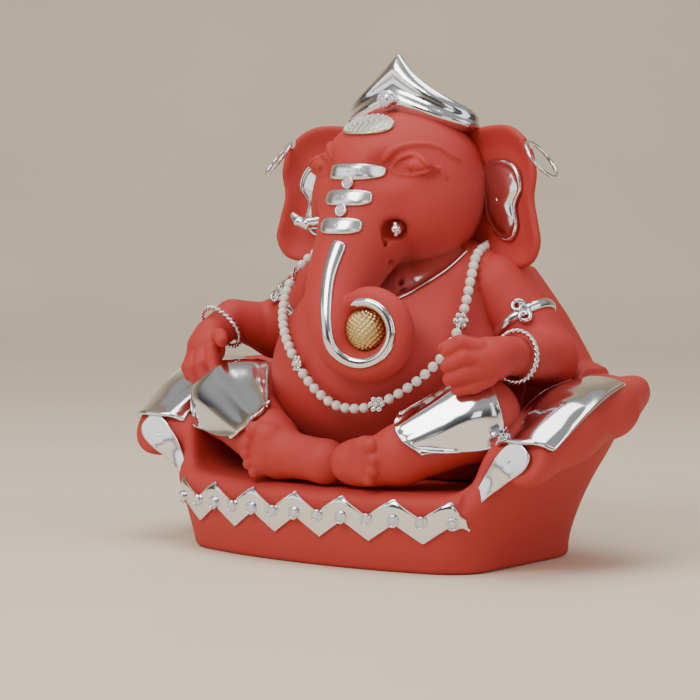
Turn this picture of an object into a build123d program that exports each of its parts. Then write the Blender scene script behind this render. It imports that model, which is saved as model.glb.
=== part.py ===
"""Ganesha idol seated on a small sofa: one node for each piece that would come apart.

Millimetres, +Z up. The idol faces -Y and its own left hand is on +X. The origin lies on
the flat underside of the sofa, on the centre line, below the crown.
"""
from build123d import *
from math import cos, pi, radians, sin, sqrt
import os

# ---- Driving dimensions --------------------------------------------------------------
HEIGHT = 127.0             # underside to the peak of the crown
WIDTH = 139.7              # across the two rolled sofa arms
SEAT_HEIGHT = 19.5
SEAT_HALF_WIDTH = 44.0     # between the arms at the seat
SEAT_FLARE = 6.0           # how much wider the seat hollow is at arm height
SEAT_BACK = 17.0           # y of the backrest's inner face
SOFA_BACK = 25.0           # y of the backrest's outer face
SOFA_FRONT = -54.0         # y of the middle of the bowed front
SOFA_CORNER = -41.0        # y of the two front corners
ARM_HEIGHT = 46.0
ARM_FRONT_HEIGHT = 33.5    # the arms dip to this at their front tips
CREST_HEIGHT = 75.0        # peak of the backrest
TRIM_THICKNESS = 1.0       # plated plates and bands
BELLY_RADIUS = 27.0
CHEST_RADIUS = 17.0
HEAD_RADIUS = 19.5
TRUNK_CURL = 9.3           # from the sweet ball's centre to the middle of the trunk
BALL_RADIUS = 5.6
EAR_THICKNESS = 2.6
EAR_HOLE_RADIUS = 1.45
EARRING_RADIUS = 5.5       # to the middle of the wire
EARRING_WIRE = 0.5
BANGLE_RADIUS = 6.3        # to the middle of the wire
BANGLE_WIRE = 0.75
BANGLE_CLEARANCE = 0.7     # free space between wrist and bangle
PEARL_DIAMETER = 2.6
PEARL_GAP = 0.06
THREAD_DIAMETER = 0.5
BORE_CLEARANCE = 0.1
STONE_RADIUS = 1.15
BEZEL_RADIUS = 1.6
ZIGZAG_PEAKS = 7
ZIGZAG_PITCH = 14.2
ZIGZAG_RISE = 3.4
ZIGZAG_RIBBON = 4.4
ZIGZAG_MIDDLE = 13.0       # z of the ribbon's middle

SIDES = {"left": 1, "right": -1}   # the idol's own sides
BLEND = 0.97               # limb cones are a little slimmer than the balls they join

# ---- Body landmarks: centre and radius of each ball along a limb ------------------------
BELLY = (8.0, -11.0, 44.0)
CHEST = (12.0, -7.0, 63.0)
HEAD = (3.0, -9.0, 92.5)
SWEET_BALL = (13.0, -41.0, 58.2)
FACE_CHAIN = [((0, -13, 91), 17.0), ((0, -21.5, 85.5), 11.2), ((0, -28, 78.5), 8.6),
              ((-0.3, -33.5, 71), 7.1), ((0.6, -37.5, 64), 6.1)]
LEFT_LEG = [((22, -8, 33), 13), ((39.5, -31, 37), 9.8), ((26, -43.5, 28.5), 7.4)]
RIGHT_LEG = [((-22, -8, 33), 13), ((-39.5, -31, 37), 9.8), ((-16, -43.5, 28.5), 7.4)]
LEFT_FOOT = [((26, -43.5, 28.5), 6.8), ((21, -46.5, 26.5), 6.4), ((15, -47, 26), 5.6)]
RIGHT_FOOT = [((-16, -43.5, 28.5), 6.8), ((-11, -47, 26.5), 6.4), ((3, -47.5, 26), 5.2)]
LEFT_ARM = [((28, -5, 67), 9.2), ((43, -6.2, 50.6), 7.1), ((46.2, -18.9, 51.2), 5.4)]
RIGHT_ARM = [((-28, -5, 67), 9.2), ((-43.5, -8, 54), 7), ((-48.8, -20.5, 58), 5.0)]
LEFT_HAND = [((46, -30.4, 52.7), 5.4), ((44.3, -36, 51.6), 6.1), ((39, -41.5, 49.5), 4.7)]
RIGHT_HAND = [((-49.8, -27.5, 53.2), 4.8), ((-49, -31, 50), 5.0), ((-47.5, -34, 45.5), 3.8)]
NECK_RADIUS = 13.5

# ---- Pearl strand: middle of the thread, from the nape over the left shoulder and back ----
STRAND_ROUTE = [
    (-1, 14.6, 83), (8.5, 13.2, 82.2), (17.2, 7, 80.6), (22.5, -2.4, 78.3),
    (24.3, -10.8, 76.8), (27.2, -17.2, 70), (28.8, -22.3, 62), (29.4, -27.8, 54.5),
    (26.6, -33.6, 48), (20.5, -38, 42.3), (12.5, -40.4, 38.4), (3.2, -41, 38.2),
    (-5, -40.6, 43), (-12.5, -38.9, 50), (-20, -34, 57.2), (-25.8, -26.5, 64),
    (-27.3, -19.5, 71.5), (-25, -11, 77.2), (-21.8, -2.4, 78.4), (-16.8, 6.8, 80.7),
    (-9.8, 12.6, 82.2), (-3, 14.6, 82.9),
]
CHARM_PLACES = (0.30, 0.455, 0.60, 0.765)   # shares of the strand's length
CHARM_RADIUS = 2.3


def unit(vector):
    """A Vector of length one."""
    return Vector(*vector).normalized() if not isinstance(vector, Vector) else vector.normalized()


def limb(balls, slim=BLEND):
    """Add balls joined by cones to the open part."""
    for centre, radius in balls:
        with Locations(centre):
            Sphere(radius)
    for (start, start_radius), (end, end_radius) in zip(balls, balls[1:]):
        run = Vector(*end) - Vector(*start)
        middle = Vector(*start) + run / 2
        with Locations(Plane(origin=middle, z_dir=run).location):
            Cone(start_radius * slim, end_radius * slim * 0.999, run.length)


def grown(balls, extra):
    """The same balls, each larger by extra."""
    return [(centre, radius + extra) for centre, radius in balls]


def mirrored(balls):
    """The same balls on the other side of the centre line."""
    return [((-x, y, z), radius) for (x, y, z), radius in balls]


def save(part, name):
    """Label one finished piece and write its STEP file."""
    part.label = name
    export_step(part, f"parts/{name}.step")


os.makedirs("parts", exist_ok=True)

# ---- Sofa -------------------------------------------------------------------------------
# Level, half width, y of the corners, y of the front's middle, y of the back.
HULL_LEVELS = [
    (0, 42.5, SOFA_CORNER + 2.5, SOFA_FRONT + 4, SOFA_BACK - 11),
    (5, 46.0, SOFA_CORNER, SOFA_FRONT + 1, SOFA_BACK - 6),
    (15, 49.5, SOFA_CORNER - 1, SOFA_FRONT, SOFA_BACK - 1),
    (26, 59.5, SOFA_CORNER + 1, SOFA_FRONT + 6, SOFA_BACK),
    (ARM_HEIGHT - 9, WIDTH / 2, SOFA_CORNER + 2.5, SOFA_FRONT + 10, SOFA_BACK),
    (ARM_HEIGHT + 1, WIDTH / 2 - 1.5, SOFA_CORNER + 3, SOFA_FRONT + 10, SOFA_BACK - 1),
]
CREST_OUTLINE = [(-WIDTH / 2, ARM_HEIGHT), (-46, ARM_HEIGHT), (-34, 49), (-21.5, 61), (-9, 72.5),
                 (0, CREST_HEIGHT), (9, 72.5), (21.5, 61), (34, 49), (46, ARM_HEIGHT),
                 (WIDTH / 2, ARM_HEIGHT), (WIDTH / 2, -10), (-WIDTH / 2, -10)]
ARM_TOP = [(SOFA_CORNER - 6, ARM_FRONT_HEIGHT - 2), (SOFA_CORNER + 2, ARM_FRONT_HEIGHT),
           (-33, 37.5), (-24, 43.5), (-10, ARM_HEIGHT - 0.6), (6, ARM_HEIGHT)]


def tub_points(half_width, corner_y, back_y):
    """Points of the tub-shaped plan behind its two front corners."""
    right = [(half_width, corner_y), (half_width * 0.98, corner_y + 22),
             (half_width * 0.77, back_y - 15), (half_width * 0.4, back_y - 2)]
    return right + [(0, back_y)] + [(-x, y) for x, y in reversed(right)]


with BuildPart() as sofa:
    for level, half_width, corner_y, front_y, back_y in HULL_LEVELS:
        with BuildSketch(Plane.XY.offset(level)):
            with BuildLine():
                ThreePointArc((-half_width, corner_y), (0, front_y), (half_width, corner_y))
                Spline(*tub_points(half_width, corner_y, back_y))
            make_face()
    loft()
    with BuildSketch(Plane.XY.offset(ARM_HEIGHT)):
        with BuildLine():
            ThreePointArc((-56, -6), (0, -8), (56, -6))
            Spline(*tub_points(56, -6, SOFA_BACK - 1.5))
        make_face()
    extrude(amount=CREST_HEIGHT + 5 - ARM_HEIGHT)
    for level, half_width in ((SEAT_HEIGHT, SEAT_HALF_WIDTH),
                              (CREST_HEIGHT + 10, SEAT_HALF_WIDTH + 2 * SEAT_FLARE)):
        with BuildSketch(Plane.XY.offset(level)):
            with BuildLine():
                Polyline((half_width, SOFA_CORNER), (half_width, 2 * SOFA_FRONT),
                         (-half_width, 2 * SOFA_FRONT), (-half_width, SOFA_CORNER))
                Spline(*tub_points(half_width, SOFA_CORNER, SEAT_BACK))
            make_face()
    loft(mode=Mode.SUBTRACT)
    with BuildSketch(Plane.XZ):
        with BuildLine():
            Polyline(*CREST_OUTLINE, close=True)
        make_face()
    extrude(amount=WIDTH, both=True, mode=Mode.INTERSECT)
    with BuildSketch(Plane.YZ):
        with BuildLine():
            arm_top_line = Spline(*ARM_TOP)
            Polyline(arm_top_line @ 1, (6, CREST_HEIGHT + 20), (-90, CREST_HEIGHT + 20),
                     (-90, ARM_FRONT_HEIGHT - 4), arm_top_line @ 0)
        make_face()
    extrude(amount=WIDTH, both=True, mode=Mode.SUBTRACT)

# ---- Torso ---------------------------------------------------------------------------------
with BuildPart() as torso:
    limb([((-BELLY[0], BELLY[1], BELLY[2]), BELLY_RADIUS), (BELLY, BELLY_RADIUS)], 1.0)
    limb([((-CHEST[0], CHEST[1], CHEST[2]), CHEST_RADIUS), (CHEST, CHEST_RADIUS)], 1.0)
    with Locations((0, -3, 72)):
        Cylinder(NECK_RADIUS, 18)
    add(sofa.part, mode=Mode.SUBTRACT)

# ---- Head with the trunk curled round a sweet ball ----------------------------------------------
CURL_TURN = 12             # the curl's plane is turned this far towards the idol's left
curl_right = Vector(cos(radians(CURL_TURN)), sin(radians(CURL_TURN)), 0)
ball_centre = Vector(*SWEET_BALL)


def curl_ball(angle, reach, radius):
    """One ball of the trunk's curl, at an angle from the curl's right-hand side."""
    place = ball_centre + curl_right * (reach * cos(radians(angle)))
    place += Vector(0, 0, reach * sin(radians(angle)))
    return ((place.X, place.Y, place.Z), radius)


CURL = [curl_ball(180 + step * 36, TRUNK_CURL - step * 0.2, 5.0 - step * 0.38)
        for step in range(9)]
with BuildPart() as head:
    limb([((-HEAD[0], HEAD[1], HEAD[2]), HEAD_RADIUS), (HEAD, HEAD_RADIUS)], 1.0)
    limb(FACE_CHAIN + CURL)
    with Locations(SWEET_BALL):
        Sphere(BALL_RADIUS, mode=Mode.SUBTRACT)
    add(torso.part, mode=Mode.SUBTRACT)

with BuildPart() as sweet_ball:
    with Locations(SWEET_BALL):
        Sphere(BALL_RADIUS)
    add(torso.part, mode=Mode.SUBTRACT)

# ---- Legs with feet -------------------------------------------------------------------------------
legs = {}
for side, shin, foot in (("left", LEFT_LEG, LEFT_FOOT), ("right", RIGHT_LEG, RIGHT_FOOT)):
    with BuildPart() as leg:
        limb(shin)
        limb(foot)
        add(sofa.part, mode=Mode.SUBTRACT)
        add(torso.part, mode=Mode.SUBTRACT)
    legs[side] = leg

# ---- Pleated shin covers: half shells over the knee and shin -----------------------------------
covers = {}
for side, shin in (("left", LEFT_LEG), ("right", RIGHT_LEG)):
    sign = SIDES[side]
    knee, ankle = Vector(*shin[1][0]), Vector(*shin[2][0])
    front = Plane(origin=knee + (ankle - knee) * 0.5 + Vector(0, 0, -1),
                  x_dir=ankle - knee, z_dir=Vector(0.25 * sign, -0.6, 0.75))
    with BuildPart() as cover:
        limb(grown(shin[1:], TRIM_THICKNESS))
        with BuildSketch(front):
            RectangleRounded(31, 23, 5)
        extrude(amount=30, mode=Mode.INTERSECT)
        limb_cut = legs[side].part
        add(limb_cut, mode=Mode.SUBTRACT)
        add(sofa.part, mode=Mode.SUBTRACT)
        add(torso.part, mode=Mode.SUBTRACT)
    covers[side] = cover

# ---- Arms with hands --------------------------------------------------------------------------------
arms = {}
for side, reach, hand in (("left", LEFT_ARM, LEFT_HAND), ("right", RIGHT_ARM, RIGHT_HAND)):
    wrist_start, wrist_end = reach[-1][0], hand[0][0]
    wrist_run = Vector(*wrist_end) - Vector(*wrist_start)
    with BuildPart() as arm:
        limb(reach)
        limb(hand)
        with Locations(Plane(origin=Vector(*wrist_start) + wrist_run / 2, z_dir=wrist_run).location):
            Cylinder(BANGLE_RADIUS - BANGLE_WIRE - BANGLE_CLEARANCE, wrist_run.length)
        for other in (sofa, torso, legs[side], covers[side]):
            add(other.part, mode=Mode.SUBTRACT)
    arms[side] = arm

# ---- Bangles: loose rings round the wrists ---------------------------------------------------------------
bangles = {}
for side, reach, hand in (("left", LEFT_ARM, LEFT_HAND), ("right", RIGHT_ARM, RIGHT_HAND)):
    start = Vector(*reach[-1][0])
    run = Vector(*hand[0][0]) - start
    with BuildPart() as bangle:
        with Locations(Plane(origin=start + run / 2, z_dir=run).location):
            Torus(BANGLE_RADIUS, BANGLE_WIRE)
    bangles[side] = bangle
    print(side, "bangle centre", start + run / 2, "axis", run.normalized())

# ---- Armbands: open bands round the upper arms -------------------------------------------------------------
armbands = {}
for side, reach in (("left", LEFT_ARM), ("right", RIGHT_ARM)):
    shoulder, elbow = Vector(*reach[0][0]), Vector(*reach[1][0])
    place = Plane(origin=shoulder + (elbow - shoulder) * 0.42, z_dir=elbow - shoulder)
    with BuildPart() as armband:
        with Locations(place.location):
            Cylinder(9.0, 3.2)
        for other in (arms[side], torso):
            add(other.part, mode=Mode.SUBTRACT)
    armbands[side] = armband

# ---- Ears: dished plates swept forward, each pierced near its upper edge --------------------
EAR_OUTLINE = [(0, 106), (8, 109.2), (17, 108.5), (23.6, 103.5), (26.3, 96), (25.8, 88),
               (27.5, 80), (22, 73.4), (14.5, 75.4), (9.2, 80), (4, 82.8), (0.5, 84.5)]
EAR_ROOT = (15.5, -1.0)            # x and y where the ear leaves the head
EAR_SWEEP = {"left": 14.0, "right": 20.0}   # degrees forward of straight sideways
EAR_HOLE = (23.2, 104.2)           # along the ear, and height
HOLE_EDGE = 3.6                    # from the hole's middle to the ear's rim

ears, ear_planes = {}, {}
for side, sign in SIDES.items():
    forward = radians(EAR_SWEEP[side])
    outward = Vector(sign * cos(forward), -sin(forward), 0)
    ear_plane = Plane(origin=(sign * EAR_ROOT[0], EAR_ROOT[1], 0), x_dir=outward,
                      z_dir=outward.cross(Vector(0, 0, 1)) if sign > 0
                      else Vector(0, 0, 1).cross(outward))
    flip = 1 if ear_plane.y_dir.Z > 0 else -1
    ear_planes[side] = (ear_plane, flip)
    with BuildPart() as ear:
        with BuildSketch(ear_plane):
            with BuildLine():
                Spline(*[(s, flip * z) for s, z in EAR_OUTLINE], periodic=True)
            make_face()
        extrude(amount=EAR_THICKNESS / 2, both=True)
        with Locations((ear_plane * Pos(EAR_HOLE[0], flip * EAR_HOLE[1], 0))):
            Cylinder(EAR_HOLE_RADIUS, EAR_THICKNESS * 2, mode=Mode.SUBTRACT)
        for other in (head, torso, arms[side]):
            add(other.part, mode=Mode.SUBTRACT)
    ears[side] = ear
    print(side, "ear normal", ear_plane.z_dir, "solids", len(ear.part.solids()))

# ---- Kidney-shaped plates on the ears -------------------------------------------------------------
ear_plates = {}
for side in SIDES:
    ear_plane, flip = ear_planes[side]
    front = 1 if ear_plane.z_dir.Y < 0 else -1
    with BuildPart() as ear_plate:
        with BuildSketch(ear_plane.offset(front * EAR_THICKNESS / 2)):
            with Locations((13.2, flip * 90)):
                SlotCenterToCenter(9.5, 10.5, rotation=90 - 8 * flip)
        extrude(amount=front * TRIM_THICKNESS)
        add(head.part, mode=Mode.SUBTRACT)
        add(ears[side].part, mode=Mode.SUBTRACT)
    ear_plates[side] = ear_plate

# ---- Earrings: wire rings through the holes, lying against the ears' rims ---------------------------
EARRING_DROP = 48                  # degrees below straight outwards
EARRING_SLANT = 20                 # degrees between the ring and the hole's axis
earrings = {}
for side in SIDES:
    ear_plane, flip = ear_planes[side]
    hole = ear_plane.from_local_coords(Vector(EAR_HOLE[0], flip * EAR_HOLE[1], 0))
    away = (ear_plane.x_dir * cos(radians(EARRING_DROP))
            - Vector(0, 0, 1) * sin(radians(EARRING_DROP)))
    through = (ear_plane.z_dir * cos(radians(EARRING_SLANT))
               + ear_plane.z_dir.cross(away) * sin(radians(EARRING_SLANT)))
    ring_plane = Plane(origin=hole + away * EARRING_RADIUS, x_dir=away, z_dir=away.cross(through))
    with BuildPart() as earring:
        with Locations(ring_plane.location):
            Torus(EARRING_RADIUS, EARRING_WIRE)
    earrings[side] = earring
    print(side, "earring hole", hole, "hinge axis", ear_plane.z_dir)

# ---- Crown: a stepped ring that rises to a peak in front --------------------------------------------
CROWN_CENTRE = (0, -4.5)
CROWN_HALF_WIDTH, CROWN_HALF_DEPTH = 18.2, 12.2
CROWN_WALL = 2.4
CROWN_FOOT = 107.0
with BuildPart() as crown:
    with BuildSketch(Plane.XY.offset(CROWN_FOOT)):
        with Locations(CROWN_CENTRE):
            Ellipse(CROWN_HALF_WIDTH, CROWN_HALF_DEPTH)
            Ellipse(CROWN_HALF_WIDTH - CROWN_WALL, CROWN_HALF_DEPTH - CROWN_WALL,
                    mode=Mode.SUBTRACT)
    extrude(amount=HEIGHT - CROWN_FOOT)
    with BuildSketch(Plane.YZ):
        with BuildLine():
            Polyline((-30, 112.5), (-14, 111.5), (20, 104), (20, 109), (5, 112), (-4, 116.5),
                     (-12, 121), (-14, HEIGHT), (-30, HEIGHT), close=True)
        make_face()
    extrude(amount=30, both=True, mode=Mode.INTERSECT)
    with BuildSketch(Plane.XZ):
        with BuildLine():
            Polyline((-24, 100), (-24, 115.5), (-14, 117.5), (-5, 122.5), (0, HEIGHT),
                     (5, 122.5), (14, 117.5), (24, 115.5), (24, 100), close=True)
        make_face()
    extrude(amount=30, both=True, mode=Mode.INTERSECT)
    add(head.part, mode=Mode.SUBTRACT)

CROWN_FRONT = CROWN_CENTRE[1] - CROWN_HALF_DEPTH
with BuildPart() as crown_gem:
    with BuildSketch(Plane.XZ.offset(-CROWN_FRONT - 1)):
        with Locations((0, 115.4)):
            Circle(2.4)
    extrude(amount=2.0)
    add(crown.part, mode=Mode.SUBTRACT)
    add(head.part, mode=Mode.SUBTRACT)

# ---- Forehead: oval plate set with small stones, three bars and two stones between them --------------
face_slope = Plane(origin=(0, -32.6, 90.0), x_dir=(1, 0, 0), z_dir=(0, -1, 0.5))
BROW = Plane(origin=(0, -22.2, 106.8), x_dir=(1, 0, 0), z_dir=(0, -0.72, 0.72))
with BuildPart() as brow_plate:
    with BuildSketch(BROW.offset(-2.5)):
        Ellipse(7.4, 4.5)
    extrude(amount=3.7)
    add(head.part, mode=Mode.SUBTRACT)
    add(crown.part, mode=Mode.SUBTRACT)
BROW_STONE_ROWS = {-3: 9, -1.5: 11, 0: 12, 1.5: 11, 3: 9}
with BuildPart() as brow_stones:
    with BuildSketch(BROW.offset(1.2)):
        for row, count in BROW_STONE_ROWS.items():
            with Locations((0, row)):
                with GridLocations(1.12, 1, count, 1):
                    Circle(0.45)
    extrude(amount=0.5)

BARS = {"upper": (0, 6.9, 14.6), "middle": (1, 0.0, 13.2), "lower": (2, -7.1, 11.4)}
BAR_HEIGHT = 4.1
bars = {}
for name, (index, rise, length) in BARS.items():
    with BuildPart() as bar:
        with BuildSketch(face_slope.offset(-3)):
            with Locations((0, rise)):
                RectangleRounded(length, BAR_HEIGHT, BAR_HEIGHT * 0.42)
        extrude(amount=4.2)
        add(head.part, mode=Mode.SUBTRACT)
    bars[name] = bar
with BuildPart() as face_bezels:
    with BuildSketch(face_slope.offset(-3)):
        with Locations((0, 3.45), (0, -3.55)):
            Circle(BEZEL_RADIUS)
            Circle(STONE_RADIUS, mode=Mode.SUBTRACT)
    extrude(amount=4.4)
    for other in [head] + list(bars.values()):
        add(other.part, mode=Mode.SUBTRACT)
with BuildPart() as face_stones:
    with BuildSketch(face_slope.offset(-3)):
        with Locations((0, 3.45), (0, -3.55)):
            Circle(STONE_RADIUS)
    extrude(amount=4.5)
    for other in [head] + list(bars.values()):
        add(other.part, mode=Mode.SUBTRACT)

# ---- Trunk stripe: a plated ribbon down the trunk and round its curl -------------------------------
stripe_balls = [((x, y - radius * 0.62, z), radius * 0.52)
                for (x, y, z), radius in FACE_CHAIN[2:] + CURL[:-1]]
with BuildPart() as trunk_stripe:
    limb(stripe_balls[1:])
    for other in (head, sweet_ball, torso):
        add(other.part, mode=Mode.SUBTRACT)
    keep = trunk_stripe.part.solids().sort_by(SortBy.VOLUME)[-1]
    add(keep, mode=Mode.INTERSECT)

# ---- Tusks: short plated pegs, the right one longer ---------------------------------------------------
tusks = {}
TUSKS = {"left": [((9.5, -24.5, 82.5), 1.1), ((12.6, -29.8, 81.6), 0.8)],
         "right": [((-9.5, -24, 84), 1.8), ((-14.5, -29, 83.2), 1.4), ((-18.6, -31.5, 85.4), 0.8)]}
for side, balls in TUSKS.items():
    with BuildPart() as tusk:
        limb(balls)
        add(head.part, mode=Mode.SUBTRACT)
    tusks[side] = tusk

# ---- Collar: a crescent lying on the chest --------------------------------------------------------------
with BuildPart() as collar:
    limb([((-CHEST[0], CHEST[1], CHEST[2]), CHEST_RADIUS + TRIM_THICKNESS),
          (CHEST, CHEST_RADIUS + TRIM_THICKNESS)], 1.0)
    with BuildSketch(Plane.XZ):
        with Locations((0, 81.8)):
            Circle(20.4)
        with Locations((0, 91.1)):
            Circle(22.6, mode=Mode.SUBTRACT)
    extrude(amount=40, mode=Mode.INTERSECT)
    for other in (torso, head, trunk_stripe, *arms.values(), *ears.values()):
        add(other.part, mode=Mode.SUBTRACT)

# ---- Pearl strand -----------------------------------------------------------------------------------------
def route_radii(points):
    """Radius of the arc at each corner: as large as its two runs allow."""
    radii = []
    for before, here, after in zip(points, points[1:], points[2:]):
        into, out = Vector(*here) - Vector(*before), Vector(*after) - Vector(*here)
        half_turn = radians(into.get_angle(out)) / 2
        radii.append(0.45 * min(into.length, out.length) * cos(half_turn) / sin(half_turn))
    return radii


radii = route_radii(STRAND_ROUTE)
print("strand arc radii", [round(radius, 1) for radius in radii])
with BuildPart() as strand_thread:
    with BuildLine() as strand_path:
        FilletPolyline(*STRAND_ROUTE, radius=radii)
    strand = strand_path.wires()[0]
    with BuildSketch(Plane(origin=strand @ 0, z_dir=strand % 0)):
        Circle(THREAD_DIAMETER / 2)
    sweep()
tube_volume = pi * THREAD_DIAMETER ** 2 / 4 * strand.length
print("strand length", strand.length, "volume ratio", strand_thread.part.volume / tube_volume)

pearl_pitch = PEARL_DIAMETER + PEARL_GAP
KNOT_RADIUS = 0.9
strand_room = strand.length - 2 * KNOT_RADIUS
pearl_count = int(strand_room // pearl_pitch)
pearl_places, charm_places = [], []
for index in range(pearl_count):
    share = (KNOT_RADIUS + (index + 0.5) * strand_room / pearl_count) / strand.length
    place = Plane(origin=strand @ share, z_dir=strand % share)
    if min(abs(share - charm) for charm in CHARM_PLACES) < pearl_pitch / strand.length / 2:
        charm_places.append(place)
    else:
        pearl_places.append(place)
print("pearls", len(pearl_places), "charms", len(charm_places))

pearl = Sphere(PEARL_DIAMETER / 2) - Cylinder(THREAD_DIAMETER / 2 + BORE_CLEARANCE, PEARL_DIAMETER * 2)
pearls = Compound(children=[place.location * pearl for place in pearl_places])
charm = (Cylinder(CHARM_RADIUS * 0.55, PEARL_DIAMETER * 0.8)
         - Cylinder(THREAD_DIAMETER / 2 + BORE_CLEARANCE, PEARL_DIAMETER * 2))
charms = Compound(children=[place.location * charm for place in charm_places])
with BuildPart() as strand_knot:
    with Locations(strand @ 0 + (strand @ 1 - strand @ 0) / 2):
        Sphere(((strand @ 1 - strand @ 0).length) / 2)

# ---- Plated caps on the sofa arms --------------------------------------------------------------------------
arm_caps = {}
for side, sign in SIDES.items():
    with BuildPart() as arm_cap:
        with BuildSketch(Plane.YZ):
            with BuildLine():
                low = Spline(*ARM_TOP)
                high = Spline(*[(y, z + TRIM_THICKNESS) for y, z in ARM_TOP])
                Line(low @ 0, high @ 0)
                Line(low @ 1, high @ 1)
            make_face()
        extrude(amount=WIDTH, both=True)
        with BuildSketch(Plane.XY):
            with BuildLine():
                Spline((sign * 47.5, -38), (sign * 58, -35.5), (sign * 69.5, -38.5),
                       (sign * 69.3, -22), (sign * 60, -8), (sign * 52, -13), (sign * 49.5, -26),
                       periodic=True)
            make_face()
        extrude(amount=100, mode=Mode.INTERSECT)
        Box(WIDTH, 200, 200, mode=Mode.INTERSECT)
        for other in (sofa, legs[side], covers[side], arms[side]):
            add(other.part, mode=Mode.SUBTRACT)
    arm_caps[side] = arm_cap

# ---- Drop-shaped inlays on the arms' front faces -----------------------------------------------------------
inlays = {}
for side, sign in SIDES.items():
    with BuildPart() as inlay:
        with BuildSketch(Plane.XZ.offset(38.5)):
            with BuildLine():
                Spline((sign * 46.5, 20.5), (sign * 50, 26), (sign * 53.5, 31), (sign * 59.5, 32.4),
                       (sign * 63, 29.8), (sign * 57.5, 26.5), (sign * 51.5, 21.5), periodic=True)
            make_face()
        extrude(amount=4.2)
        add(sofa.part, mode=Mode.SUBTRACT)
    inlays[side] = inlay

# ---- Zigzag band round the bowed front, with stones at its corners ----------------------------------------
front_arc = [(-49.5, SOFA_CORNER - 1), (0, SOFA_FRONT), (49.5, SOFA_CORNER - 1)]


def front_shell(outer, depth=3.0, low=4.0, high=20.0):
    """A curved slab along the bowed front, from depth inside it to outer in front of it."""
    with BuildPart(mode=Mode.PRIVATE) as slab:
        with BuildSketch(Plane.XY.offset(low)):
            with BuildLine():
                near = ThreePointArc(*[(x * 1.02, y - outer) for x, y in front_arc])
                far = ThreePointArc(*[(x * 1.02, y + depth) for x, y in front_arc])
                Line(near @ 0, far @ 0)
                Line(near @ 1, far @ 1)
            make_face()
        extrude(amount=high - low)
    return slab.part


def zigzag(offset):
    """Corner points of the zigzag, raised by offset."""
    corners = []
    for step in range(2 * ZIGZAG_PEAKS - 1):
        x = (step - ZIGZAG_PEAKS + 1) * ZIGZAG_PITCH / 2
        corners.append((x, ZIGZAG_MIDDLE + offset + ZIGZAG_RISE / 2 * (1 if step % 2 == 0 else -1)))
    end = ZIGZAG_PEAKS * ZIGZAG_PITCH / 2 - 4.5
    return [(-end, ZIGZAG_MIDDLE + offset)] + corners + [(end, ZIGZAG_MIDDLE + offset)]


with BuildPart() as zigzag_band:
    with BuildSketch(Plane.XZ.offset(30)):
        with BuildLine():
            Polyline(*zigzag(ZIGZAG_RIBBON / 2), *reversed(zigzag(-ZIGZAG_RIBBON / 2)), close=True)
        make_face()
    extrude(amount=40)
    add(front_shell(TRIM_THICKNESS), mode=Mode.INTERSECT)
    add(sofa.part, mode=Mode.SUBTRACT)

stone_spots = [(x, z + (ZIGZAG_RIBBON / 2 + 0.4) * (-1 if z > ZIGZAG_MIDDLE else 1))
               for x, z in zigzag(0)[1:-1]]
with BuildPart() as band_bezels:
    with BuildSketch(Plane.XZ.offset(30)):
        with Locations(*stone_spots):
            Circle(BEZEL_RADIUS)
            Circle(STONE_RADIUS, mode=Mode.SUBTRACT)
    extrude(amount=40)
    add(front_shell(TRIM_THICKNESS + 0.6), mode=Mode.INTERSECT)
    add(sofa.part, mode=Mode.SUBTRACT)
    add(zigzag_band.part, mode=Mode.SUBTRACT)
with BuildPart() as band_stones:
    with BuildSketch(Plane.XZ.offset(30)):
        with Locations(*stone_spots):
            Circle(STONE_RADIUS)
    extrude(amount=40)
    add(front_shell(TRIM_THICKNESS + 0.8), mode=Mode.INTERSECT)
    add(sofa.part, mode=Mode.SUBTRACT)
    add(zigzag_band.part, mode=Mode.SUBTRACT)

# ---- Files ---------------------------------------------------------------------------------------------
PIECES = {
    "sofa": sofa, "torso": torso, "head": head, "sweet_ball": sweet_ball, "crown": crown,
    "crown_gem": crown_gem, "brow_plate": brow_plate, "brow_stones": brow_stones,
    "face_bezels": face_bezels, "face_stones": face_stones, "trunk_stripe": trunk_stripe,
    "collar": collar, "strand_thread": strand_thread, "strand_knot": strand_knot,
    "zigzag_band": zigzag_band, "band_bezels": band_bezels, "band_stones": band_stones,
}
for name, piece in PIECES.items():
    save(piece.part, name)
save(pearls, "pearls")
save(charms, "charms")
for name, bar in bars.items():
    save(bar.part, f"{name}_face_bar")
for side in SIDES:
    for kind, group in (("leg", legs), ("shin_cover", covers), ("arm", arms), ("bangle", bangles),
                        ("armband", armbands), ("ear", ears), ("ear_plate", ear_plates),
                        ("earring", earrings), ("tusk", tusks), ("arm_cap", arm_caps),
                        ("inlay", inlays)):
        save(group[side].part, f"{side}_{kind}")
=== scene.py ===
"""Looks of the seated idol: sculpted red resin, silver plating, stones and a pearl strand.

Lengths in the functions below are millimetres in the part's own frame (+Z up, the idol
faces -Y, its own left hand on +X). They become metres when a mesh is made.
"""
from math import cos, pi, radians, sin

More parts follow.
